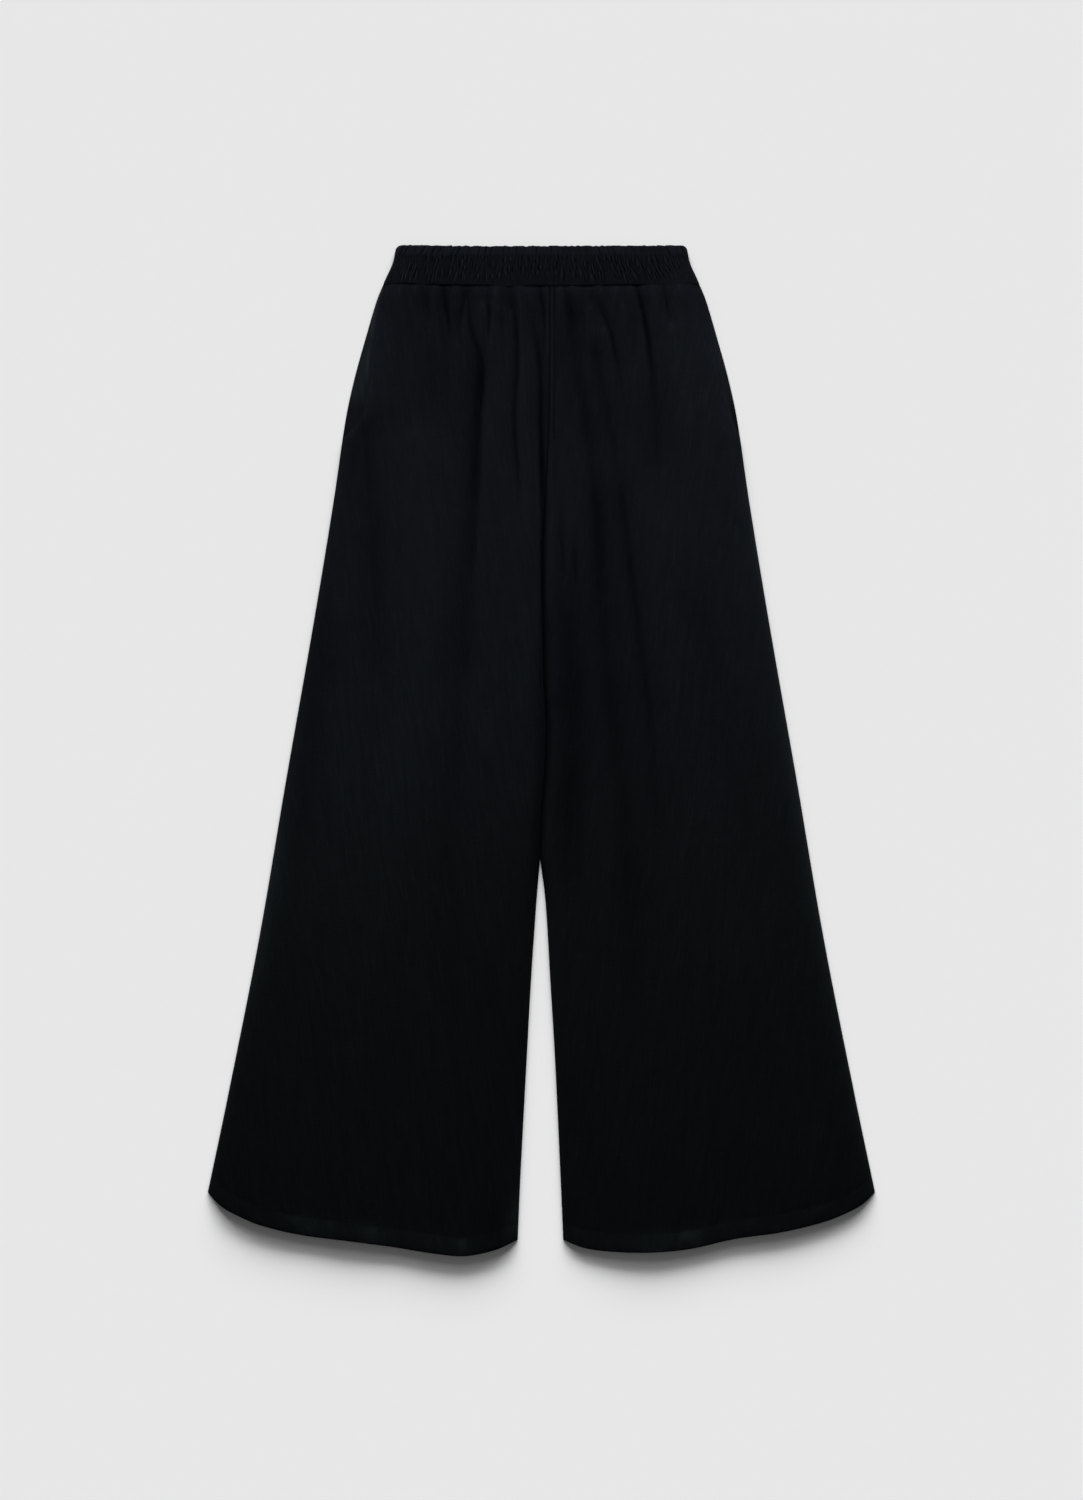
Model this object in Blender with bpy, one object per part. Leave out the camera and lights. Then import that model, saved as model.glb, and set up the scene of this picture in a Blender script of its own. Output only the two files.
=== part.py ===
"""Wide-legged pull-on culottes with an elastic waist, laid flat on their back with the front up.

The two back legs and the back of the waistband lie flat on the ground. The two front legs and
the front of the waistband lie on them, puffed up between their folds. Every cut piece is its
own closed wall of cloth, and 0.3 mm parts it from the pieces it is sewn to.

X runs to the wearer's left, Y towards the waist and Z up, with the origin on the ground below
the middle of the garment. A "drop" is a distance down from the top of the waistband.
"""

import math
import random
from collections import namedtuple

import bmesh
import bpy
from mathutils import Matrix

MM = 0.001  # metres in a millimetre: every size below is in millimetres

# Driving dimensions
LENGTH = 1009.0  # top of the waistband to the lowest point of the hems
BAND_SIDE_DEPTH = 38.0  # waistband, top edge to seam, at the side seams
BAND_SAG = 3.0  # how much lower that seam lies at the middle
BAND_TOP_DIP = 1.0  # how far the top edge dips at the middle
BAND_CORNER = 5.0  # radius of the waistband's top corners
STITCH_ROWS = (11.5, 25.0)  # drops of the two rows of stitching through the elastic
CROTCH = 297.0  # drop of the point where the four leg seams meet
CLOTH = 1.2  # wall of one layer
HEM_WALL = 1.8  # wall of a turned hem
BAND_WALL = 2.4  # wall of the waistband, with the elastic in it
SEAM = 0.3  # clearance between two pieces
FRONT_HEM_TURN = 20.0  # depth of the turned hem on a front leg
BACK_HEM_TURN = 15.0  # on a back leg, less, so that the two steps clear each other

# Half-width of the garment at each drop
Outline = namedtuple("Outline", "drop half_width")
SIDE = (
    Outline(0, 144.5),
    Outline(18, 148.3),
    Outline(34, 155.5),
    Outline(54, 164.0),
    Outline(94, 176.0),
    Outline(134, 187.0),
    Outline(174, 195.5),
    Outline(254, 207.3),
    Outline(374, 227.0),
    Outline(534, 255.0),
    Outline(694, 282.3),
    Outline(854, 314.0),
    Outline(946, 333.3),
)

# X of the seam between the two front legs, then of the line where the legs lie side by side
CentreSeam = namedtuple("CentreSeam", "drop front_x back_x")
CENTRE_SEAM = (
    CentreSeam(38, 8.1, 0.0),
    CentreSeam(120, 8.1, 0.5),
    CentreSeam(194, 7.2, 1.0),
    CentreSeam(250, 4.4, 1.5),
    CentreSeam(CROTCH, 1.5, 1.5),
    CentreSeam(354, 1.1, 1.1),
    CentreSeam(434, 2.6, 2.6),
    CentreSeam(474, 4.6, 4.6),
    CentreSeam(524, 3.6, 3.6),
    CentreSeam(574, -0.4, -0.4),
    CentreSeam(611, -1.4, -1.4),
)

# X of each leg's inner edge from the point where the legs part
InnerEdge = namedtuple("InnerEdge", "drop right_x left_x")
INNER_EDGE = (
    InnerEdge(611, -1.4, -1.4),
    InnerEdge(654, -5.0, 4.1),
    InnerEdge(734, -10.5, 9.0),
    InnerEdge(814, -14.9, 13.8),
    InnerEdge(934, -21.3, 19.4),
    InnerEdge(1009, -24.4, 22.6),
)

# Drop of each hem, across the leg from its side seam (0) to its inner seam (1)
Hem = namedtuple("Hem", "across right_drop left_drop")
HEM = (
    Hem(0.00, 946, 946),
    Hem(0.04, 959, 957.8),
    Hem(0.10, 969.5, 967.8),
    Hem(0.17, 978.5, 976),
    Hem(0.30, 988, 985.5),
    Hem(0.45, 993.9, 992),
    Hem(0.60, 1000, 1002.2),
    Hem(0.72, 1006, 1005.5),
    Hem(0.83, 1009, 1005),
    Hem(0.93, 1003, 1001.5),
    Hem(1.00, 993.5, 993.5),
)

# How far a front leg's cloth is puffed up from its seams' level, at each drop, where nothing
# folds it. With the seam's clearance it stays under 4 mm off the back leg, as panels that lie on
# each other do.
Puff = namedtuple("Puff", "drop middle centre_seam side_seam")
PUFF = (
    Puff(38, 2.9, 2.3, 1.5),
    Puff(110, 3.4, 2.2, 1.5),
    Puff(200, 3.1, 1.6, 1.5),
    Puff(240, 2.9, 1.2, 0.0),
    Puff(CROTCH, 2.5, 0.2, 0.0),
    Puff(480, 2.1, 0.0, 0.0),
    Puff(700, 2.1, 0.0, 0.0),
    Puff(880, 2.9, 0.0, 0.0),
    Puff(980, 3.4, 0.0, 0.0),
)
SIDE_ROLL = 34.0  # width over which the cloth rises from a side seam
CENTRE_ROLL = 26.0  # and from the centre seam or a leg's inner edge

# The folds of the front legs. `depth` is the share of the puff that a fold takes away, `width`
# is half its width, and it fades out from `start` to `end`. The x values are its route.
ROUTE_DROPS = (42, 80, 120, 180, 260, 340, 480, 640, 1000)
Fold = namedtuple("Fold", "start end depth width " + " ".join(f"x{drop}" for drop in ROUTE_DROPS))
RIGHT_FOLDS = {
    "outer_dart": Fold(30, 112, 0.70, 6, -117, -114, -115, -122, -133, -142, -158, -176, -215),
    "short_dart": Fold(30, 86, 0.60, 5, -96, -94, -93, -95, -98, -103, -114, -126, -180),
    "long_crease": Fold(30, 690, 0.85, 9, -75, -71, -62, -64, -68, -72, -82, -86, -150),
    "thin_dart": Fold(30, 112, 0.50, 5, -52, -54, -57, -58, -58, -60, -66, -74, -120),
    "inner_crease": Fold(30, 275, 0.75, 6, -31, -26, -26, -27, -22, -26, -30, -36, -92),
    "centre_crease": Fold(30, 330, 0.95, 7, -2.4, 0.4, -1.2, 0, -1.0, -3.4, -4.0, -10, -50),
    "upper_sweep": Fold(130, 450, 0.50, 22, -172, -174, -176, -181, -172, -163, -159, -165, -180),
    "lower_sweep": Fold(370, 700, 0.50, 24, -185, -188, -192, -196, -200, -204, -217, -241, -262),
}
LEFT_FOLDS = {
    "hip_dart": Fold(30, 96, 0.60, 5, 120, 127, 133, 141, 146, 150, 176, 218, 250),
    "sharp_crease": Fold(30, 215, 0.85, 6, 97, 103, 110, 117, 124, 132, 150, 175, 190),
    "mid_crease": Fold(92, 540, 0.70, 10, 52, 54, 57, 68, 83, 92, 106, 118, 130),
    "dimple": Fold(50, 124, 0.55, 8, 59, 64, 79, 84, 90, 96, 106, 118, 130),
    "long_crease": Fold(30, 650, 0.85, 9, 26, 30, 34, 42, 54, 59, 70, 83, 75),
    "calf_crease": Fold(350, 570, 0.50, 12, 14, 15, 16, 18, 21, 24, 31, 38, 60),
    "lower_sweep": Fold(320, 690, 0.55, 24, 120, 127, 133, 141, 146, 150, 176, 218, 250),
}
FOLD_FADE = 60.0  # greatest length over which a fold fades at either end
GATHER = 0.9  # height of the small gathers under the waistband, one on every other column
GATHER_END = 84.0  # drop at which they have faded out
HEM_WAVES = 3.5  # soft waves across each hem
HEM_WAVE = 0.10  # their share of the puff
HEM_WAVES_START = 760.0

# The side pockets. The front edge of the mouth lies back from the side seam and shows the facing.
Mouth = namedtuple("Mouth", "drop share")
MOUTH = (
    Mouth(60, 0.0),
    Mouth(100, 0.3),
    Mouth(130, 0.6),
    Mouth(154, 0.93),
    Mouth(166, 1.0),
    Mouth(179, 0.7),
    Mouth(194, 0.0),
)
FACING_WIDTH = 36.0
FACING_END = 198.0
FACING_ROWS = 12
FACING_COLUMNS = 2

# The waistband's puckers
PUCKERS = 62  # across its front
PUCKER = 1.7  # greatest height of a pucker over the band's plain face
PUCKER_LEAST = 0.35  # least share of that height
BAND_EDGE_DROP = 1.0  # how far the face rolls down at the band's outer edges
SCALLOP = 0.5  # how far the puckers pull the top edge to and fro
PUCKERS_IN_STEP = 5  # neighbours that rise in step, before crests and valleys may swap
PUCKER_SEED = 11
BandRow = namedtuple("BandRow", "tier drop height")
BAND_ROWS = (
    BandRow(0, 0.0, 0.0),
    BandRow(0, 2.5, 0.55),
    BandRow(0, 6.5, 0.80),
    BandRow(0, STITCH_ROWS[0], 0.20),
    BandRow(1, 18.2, 1.00),
    BandRow(1, STITCH_ROWS[1], 0.20),
    BandRow(2, 32.0, 0.95),
    BandRow(2, BAND_SIDE_DEPTH, 0.45),
)
BACK_BAND_COLUMNS = 8

# Meshes
FRONT_ROWS = 27  # rows of faces down a front leg, above its hem
ROW_CROWDING = 1.45  # power that crowds the rows towards the waist
HEM_STEP = 2.0  # length over which the wall thickens at a hem
BACK_ROWS = 15
FLAT_ANGLE = 0.0002  # radians: faces flatter than this to each other are joined
SHARP_ANGLE = math.radians(50)

# Finishes, as linear colours
BLACK = (0.0046, 0.0052, 0.0064)
BAND_BLACK = (0.0054, 0.0058, 0.0070)
FACING_BLACK = (0.0064, 0.0070, 0.0084)
MATT = 0.92

Leg = namedtuple("Leg", "name sign hem inner folds guides runs mouth_width")
RIGHT = Leg(
    name="right",
    sign=-1,
    hem="right_drop",
    inner="right_x",
    folds=RIGHT_FOLDS,
    guides=("outer_dart", "long_crease", "inner_crease", "centre_crease"),
    runs=(9, 8, 8, 6, 3),
    mouth_width=16.0,
)
LEFT = Leg(
    name="left",
    sign=1,
    hem="left_drop",
    inner="left_x",
    folds=LEFT_FOLDS,
    guides=("lower_sweep", "sharp_crease", "mid_crease", "long_crease"),
    runs=(8, 5, 7, 6, 6),
    mouth_width=5.0,
)


def smooth(t):
    """Ease from 0 to 1 as t goes from 0 to 1."""
    t = min(max(t, 0.0), 1.0)
    return t * t * (3.0 - 2.0 * t)


def mix(a, b, t):
    """The point a share t of the way from a to b."""
    return a + (b - a) * t


def curve_at(points, at):
    """Value at a place on a smooth curve through (place, value) points, level past both ends."""
    if at <= points[0][0]:
        return points[0][1]
    if at >= points[-1][0]:
        return points[-1][1]
    end = next(i for i in range(1, len(points)) if at <= points[i][0])
    span = points[end][0] - points[end - 1][0]
    slopes = []
    for i in (end - 1, end):
        before, after = points[max(i - 1, 0)], points[min(i + 1, len(points) - 1)]
        slopes.append((after[1] - before[1]) / (after[0] - before[0]) * span)
    t = (at - points[end - 1][0]) / span
    rise = points[end][1] - points[end - 1][1]
    swing = slopes[0] * t * (1 - t) ** 2 - slopes[1] * t * t * (1 - t)
    return points[end - 1][1] + rise * smooth(t) + swing


def column_of(table, place, value):
    """Two named columns of a table, as (place, value) points."""
    return [(getattr(row, place), getattr(row, value)) for row in table]


SIDE_CURVE = column_of(SIDE, "drop", "half_width")
MOUTH_CURVE = column_of(MOUTH, "drop", "share")


def half_width(drop):
    """Half-width of the garment, with the waistband's top corners rounded."""
    corner = max(BAND_CORNER - drop, 0.0)
    rounding = BAND_CORNER - math.sqrt(BAND_CORNER**2 - min(corner, BAND_CORNER) ** 2)
    return curve_at(SIDE_CURVE, drop) - rounding


def inner_x(leg, drop, seam):
    """X of a leg's inner edge, where `seam` is the front or the back column of the centre seam."""
    if drop < INNER_EDGE[0].drop:
        line = column_of(CENTRE_SEAM, "drop", seam)
    else:
        line = column_of(INNER_EDGE, "drop", leg.inner)
    return curve_at(line, drop) + leg.sign * SEAM / 2


def band_seam_drop(x):
    """Drop of the seam under the waistband."""
    return BAND_SIDE_DEPTH + BAND_SAG * (1.0 - (x / half_width(BAND_SIDE_DEPTH)) ** 2)


def route_x(fold, drop):
    """X of a fold at a drop."""
    return curve_at(list(zip(ROUTE_DROPS, fold[-len(ROUTE_DROPS) :])), drop)


def fold_share(leg, x, drop):
    """Share of the puff that the folds leave at a point of a front leg."""
    share = 1.0
    for fold in leg.folds.values():
        fade = min(FOLD_FADE, (fold.end - fold.start) / 2)
        along = smooth((drop - fold.start) / fade) * smooth((fold.end - drop) / fade)
        if along > 0.0:
            across = math.exp(-(((x - route_x(fold, drop)) / fold.width) ** 2))
            share *= 1.0 - fold.depth * along * across
    return share


def front_edges(leg, drop):
    """X of a front leg's side edge, set back at the pocket's mouth, and of its inner edge."""
    mouth = leg.mouth_width * curve_at(MOUTH_CURVE, drop)
    return leg.sign * (half_width(drop) - mouth), inner_x(leg, drop, "front_x")


def front_x(leg, column, drop):
    """X of a column of a front leg's mesh. Columns follow the folds that guide them."""
    side, inner = front_edges(leg, drop)
    lines = [side] + [route_x(leg.folds[name], drop) for name in leg.guides] + [inner]
    for run, count in enumerate(leg.runs):
        if column <= count:
            return mix(lines[run], lines[run + 1], column / count)
        column -= count
    return inner


def hem_drop(leg, across):
    """Drop of a leg's hem at a share of the way from its side seam to its inner seam."""
    return curve_at(column_of(HEM, "across", leg.hem), across)


def leg_row(row, rows, top, hem, turn):
    """Drop of a row of a leg's mesh, and the wall there. The last two rows are the turned hem."""
    if row > rows:
        return (hem - turn + HEM_STEP if row == rows + 1 else hem), HEM_WALL
    return mix(top, hem - turn, (row / rows) ** ROW_CROWDING), CLOTH


def puff(leg, x, drop):
    """Height of a front leg's underside over the lowest that it can lie."""
    side, inner = front_edges(leg, drop)
    middle, at_centre, at_side = (
        curve_at(column_of(PUFF, "drop", name), drop)
        for name in ("middle", "centre_seam", "side_seam")
    )
    across = (x - side) / (inner - side)
    wave = 1.0 + HEM_WAVE * (math.cos(2 * math.pi * HEM_WAVES * across) - 1.0) * smooth(
        (drop - HEM_WAVES_START) / (LENGTH - HEM_WAVES_START)
    )
    height = middle * wave * fold_share(leg, x, drop)
    height = mix(at_side, height, smooth(abs(x - side) / SIDE_ROLL))
    return mix(at_centre * fold_share(leg, x, drop), height, smooth(abs(x - inner) / CENTRE_ROLL))


def slab(columns, rows):
    """A unit slab, one grid of faces on top and one below, to be shaped point by point."""
    shape = bmesh.new()
    middle = Matrix.Translation((0.5, 0.5, 0.0))
    bmesh.ops.create_grid(shape, x_segments=columns, y_segments=rows, size=0.5, matrix=middle)
    raised = bmesh.ops.extrude_face_region(shape, geom=shape.faces[:])
    points = [item for item in raised["geom"] if isinstance(item, bmesh.types.BMVert)]
    bmesh.ops.translate(shape, verts=points, vec=(0.0, 0.0, 1.0))
    bmesh.ops.recalc_face_normals(shape, faces=shape.faces[:])
    return shape


def cloth_object(name, columns, rows, place, colour):
    """A closed wall of cloth, with its own material.

    `place` takes a column, a row and whether the point is on the upper face, and gives the
    point's X, drop and height.
    """
    shape = slab(columns, rows)
    for point in shape.verts:
        column = round(point.co.x * columns)
        row = round(point.co.y * rows)
        x, drop, height = place(column, row, point.co.z > 0.5)
        point.co = (x * MM, (LENGTH / 2 - drop) * MM, height * MM)
    if shape.calc_volume(signed=True) < 0.0:
        bmesh.ops.reverse_faces(shape, faces=shape.faces[:])
    bmesh.ops.dissolve_limit(
        shape, angle_limit=FLAT_ANGLE, verts=shape.verts[:], edges=shape.edges[:]
    )
    mesh = bpy.data.meshes.new(name)
    shape.to_mesh(mesh)
    shape.free()
    mesh.shade_smooth()
    mesh.set_sharp_from_angle(angle=SHARP_ANGLE)
    mesh.materials.append(matt_cloth(f"{name}_cloth", colour))
    piece = bpy.data.objects.new(name, mesh)
    bpy.context.scene.collection.objects.link(piece)
    return piece


def matt_cloth(name, colour):
    """A plain Principled material for matt cloth."""
    material = bpy.data.materials.new(name)
    material.use_nodes = True
    shader = material.node_tree.nodes["Principled BSDF"]
    shader.inputs["Base Color"].default_value = (*colour, 1.0)
    shader.inputs["Roughness"].default_value = MATT
    shader.inputs["Metallic"].default_value = 0.0
    return material


def back_leg(leg):
    """A back leg: flat on the ground, with its hem turned up inside."""
    across = [row.across for row in HEM]

    def place(column, row, upper):
        share = across[column]
        top_x = mix(leg.sign * half_width(BAND_SIDE_DEPTH), 0.0, share)
        top = band_seam_drop(top_x) + SEAM
        drop, wall = leg_row(row, BACK_ROWS, top, hem_drop(leg, share), BACK_HEM_TURN)
        x = mix(leg.sign * half_width(drop), inner_x(leg, drop, "back_x"), share)
        return x, drop, wall if upper else 0.0

    return cloth_object(f"back_leg_{leg.name}", len(across) - 1, BACK_ROWS + 2, place, BLACK)


def front_leg(leg):
    """A front leg: lifted by its gathers and folds, level with the back leg at its seams."""
    columns = sum(leg.runs)
    low_side, low_inner = front_edges(leg, LENGTH)

    def place(column, row, upper):
        across = (front_x(leg, column, LENGTH) - low_side) / (low_inner - low_side)
        top_x = front_x(leg, column, BAND_SIDE_DEPTH)
        top = band_seam_drop(top_x) + SEAM
        drop, wall = leg_row(row, FRONT_ROWS, top, hem_drop(leg, across), FRONT_HEM_TURN)
        x = front_x(leg, column, drop)
        height = wall + SEAM + puff(leg, x, drop)
        if upper:
            fade = smooth((GATHER_END - drop) / (GATHER_END - BAND_SIDE_DEPTH))
            height += wall + GATHER * fade * (column % 2)
        return x, drop, height

    return cloth_object(f"front_leg_{leg.name}", columns, FRONT_ROWS + 2, place, BLACK)


def pocket_facing(leg):
    """The slip of cloth that shows in a pocket's mouth, between the back leg and the front leg."""

    def place(column, row, upper):
        inwards = FACING_WIDTH * column / FACING_COLUMNS
        top = band_seam_drop(half_width(BAND_SIDE_DEPTH) - inwards) + SEAM
        drop = mix(top, FACING_END, row / FACING_ROWS)
        x = leg.sign * (half_width(drop) - inwards)
        return x, drop, CLOTH + SEAM + (CLOTH if upper else 0.0)

    return cloth_object(
        f"pocket_facing_{leg.name}", FACING_COLUMNS, FACING_ROWS, place, FACING_BLACK
    )


def band_back():
    """The back of the waistband, flat on the ground."""

    def place(column, row, upper):
        drop = BAND_ROWS[row].drop
        x = mix(-1, 1, column / BACK_BAND_COLUMNS) * half_width(drop)
        if row == len(BAND_ROWS) - 1:
            drop = band_seam_drop(x)
        return x, drop, BAND_WALL if upper else 0.0

    return cloth_object(
        "waistband_back", BACK_BAND_COLUMNS, len(BAND_ROWS) - 1, place, BAND_BLACK
    )


def band_front():
    """The front of the waistband: puckers raised on the upper face of a plain, flat band."""
    columns = 2 * PUCKERS
    draw = random.Random(PUCKER_SEED)
    tiers = range(1 + max(row.tier for row in BAND_ROWS))
    heights = [[draw.uniform(PUCKER_LEAST, 1.0) for _ in range(PUCKERS + 1)] for _ in tiers]
    swaps = [[draw.random() < 0.5 for _ in range(PUCKERS + 1)] for _ in tiers]

    def pucker(column, tier):
        """Share of a pucker's height at a column: crests and valleys, swapped here and there."""
        pair = column // 2
        crest = (column % 2 == 1) != swaps[tier][pair // PUCKERS_IN_STEP]
        return heights[tier][pair] if crest else 0.0

    def place(column, row, upper):
        tier, drop, rise = BAND_ROWS[row]
        across = mix(-1, 1, column / columns)
        pulled = pucker(column, tier)
        x = across * half_width(drop)
        if row == len(BAND_ROWS) - 1:
            drop = band_seam_drop(x)
        elif row == 0:
            drop = BAND_TOP_DIP * (1.0 - across**2) + SCALLOP * (pulled - 0.5)
        height = BAND_WALL + SEAM
        if upper:
            at_side = column in (0, columns)
            height += BAND_WALL + (0.0 if at_side else PUCKER * rise * pulled)
            height -= BAND_EDGE_DROP if at_side or row == 0 else 0.0
        return x, drop, height

    return cloth_object("waistband_front", columns, len(BAND_ROWS) - 1, place, BAND_BLACK)


def main():
    """Clear the scene, then make every piece of the garment."""
    for leftover in list(bpy.data.objects):
        bpy.data.objects.remove(leftover)
    band_back()
    band_front()
    for leg in (RIGHT, LEFT):
        back_leg(leg)
        front_leg(leg)
        pocket_facing(leg)


main()
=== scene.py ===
"""Looks of wide-legged pull-on culottes in black linen, laid flat on their back with the front up.

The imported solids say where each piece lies. Here every piece becomes a fine shell of cloth on its
solid's form, with the creases, gathers and puckers of the real garment, its stitching and weave.

X runs to the wearer's left, Y towards the waist and Z up. Sizes are in millimetres, and MM turns
them into the frame's metres. A "drop" is a distance down from the top of the waistband.
"""

import logging
import math
from dataclasses import dataclass, field, replace
from enum import Enum
from typing import Any, ClassVar, Sequence

import bpy
import numpy as np
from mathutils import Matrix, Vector


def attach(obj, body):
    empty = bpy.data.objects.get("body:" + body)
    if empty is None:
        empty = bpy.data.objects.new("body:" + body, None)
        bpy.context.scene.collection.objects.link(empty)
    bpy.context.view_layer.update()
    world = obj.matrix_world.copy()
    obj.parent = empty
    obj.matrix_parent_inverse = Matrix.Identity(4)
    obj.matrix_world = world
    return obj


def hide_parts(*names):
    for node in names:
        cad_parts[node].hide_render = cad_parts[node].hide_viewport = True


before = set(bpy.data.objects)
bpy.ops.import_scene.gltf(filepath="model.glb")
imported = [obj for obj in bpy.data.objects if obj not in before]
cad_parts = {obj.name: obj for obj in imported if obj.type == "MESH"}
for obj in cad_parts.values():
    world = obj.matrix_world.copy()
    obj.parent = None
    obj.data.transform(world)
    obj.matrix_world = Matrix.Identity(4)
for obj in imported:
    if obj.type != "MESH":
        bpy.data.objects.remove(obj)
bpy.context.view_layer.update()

LOG = logging.getLogger("culottes")
MM = 0.001
BODY = "root"
IMAGE_SIZE = (1083, 1500)
PAINTED_SHADING = "painted_shading"  # the mesh attribute for painted shade: the share of its brightness that the cloth loses, below 0 where a painted highlight adds to it
SHADE = (0, 0.0001, 0.0008, 1)  # the bluish colour that the cloth goes towards as painted shade and its own darker tone take its brightness
WHITE = (1, 1, 1, 1)

Array = np.ndarray
Colour = tuple[float, float, float]
Object = bpy.types.Object
Material = bpy.types.Material


# ---- choices


class Side(Enum):
    """A side of the wearer, with the sign of its X."""

    RIGHT = -1
    LEFT = 1

    @property
    def label(self) -> str:
        """The side's name, as the pieces' names have it."""
        return self.name.lower()


class Slot(Enum):
    """The record's material slots."""

    LEGS = "linen"
    WAISTBAND = "linen_casing"
    FACINGS = "linen_facing"


class Held(Enum):
    """How a sheet of cloth is held."""

    LAID = "laid"
    GATHERED = "gathered"


# ---- curves and unevenness


def clamp(t: Array) -> Array:
    """The nearest number from 0 to 1."""
    return np.clip(t, 0, 1)


def ease(t: Array) -> Array:
    """Ease from 0 to 1 as t goes from 0 to 1."""
    t = clamp(t)
    return t * t * (3 - 2 * t)


def rise(x: Array, start: float, length: float) -> Array:
    """Ease from 0 to 1 over a length past a start."""
    return ease((x - start) / length)


def fall(x: Array, start: float, length: float) -> Array:
    """Ease from 1 to 0 over a length past a start."""
    return 1 - rise(x, start, length)


def mix(a: Any, b: Any, t: Any) -> Any:
    """The point a share t of the way from a to b."""
    return a + (b - a) * t


def bell(distance: Array, width: float) -> Array:
    """A bell curve of height 1, a width wide on either side of the middle."""
    return np.exp(-((distance / width) ** 2))


def rounding(distance: Array, radius: float) -> Array:
    """How far a round edge has fallen, as a share of its whole fall, at a distance inside it."""
    out = 1 - clamp(distance / radius)
    return 1 - np.sqrt(1 - out * out)


@dataclass(frozen=True)
class Curve:
    """A smooth curve through a value at each of some rising places, level past both ends."""

    places: tuple[float, ...]
    values: tuple[float, ...]

    def at(self, where: Any) -> Array:
        """Read the curve.

        Args:
            where: the places to read it at.

        Returns:
            Its value at each of them.
        """
        xs, ys = np.array(self.places, float), np.array(self.values, float)
        last = len(xs) - 1
        index = np.arange(last + 1)
        before, after = np.maximum(index - 1, 0), np.minimum(index + 1, last)
        slopes = (ys[after] - ys[before]) / (xs[after] - xs[before])
        where = np.clip(where, xs[0], xs[-1])
        end = np.clip(np.searchsorted(xs, where), 1, last)
        start = end - 1
        span = xs[end] - xs[start]
        t = (where - xs[start]) / span
        swing = slopes[start] * t * (1 - t) ** 2 - slopes[end] * t * t * (1 - t)
        return ys[start] + (ys[end] - ys[start]) * ease(t) + swing * span


@dataclass(frozen=True)
class Waver:
    """Seeded smooth random waves, from -1 to 1, for cloth that never lies quite even."""

    seed: int
    wide: float  # distance between two waves across the cloth
    long: float = 400  # and along it
    cells: int = 64

    def at(self, across: Array, along: Any = 0) -> Array:
        """Read the waves.

        Args:
            across: places across the cloth.
            along: places along it.

        Returns:
            The waves' height at each place.
        """
        grid = np.random.default_rng(self.seed).uniform(-1, 1, (self.cells, self.cells))
        u, v = across / self.wide, along / self.long
        column, row = np.floor(u).astype(int), np.floor(v).astype(int)
        left, right = column % self.cells, (column + 1) % self.cells
        low, high = row % self.cells, (row + 1) % self.cells
        near = mix(grid[left, low], grid[right, low], ease(u - column))
        far = mix(grid[left, high], grid[right, high], ease(u - column))
        return mix(near, far, ease(v - row))


# ---- the garment's outline

WAIST_TO_CROTCH = (38, 120, 194, 250, 297, 354, 434, 474, 524, 574, 611)
CROTCH_TO_HEM = (611, 654, 734, 814, 934, 1009)
SIDE_TO_INNER = (0, 0.04, 0.10, 0.17, 0.30, 0.45, 0.60, 0.72, 0.83, 0.93, 1)


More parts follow.
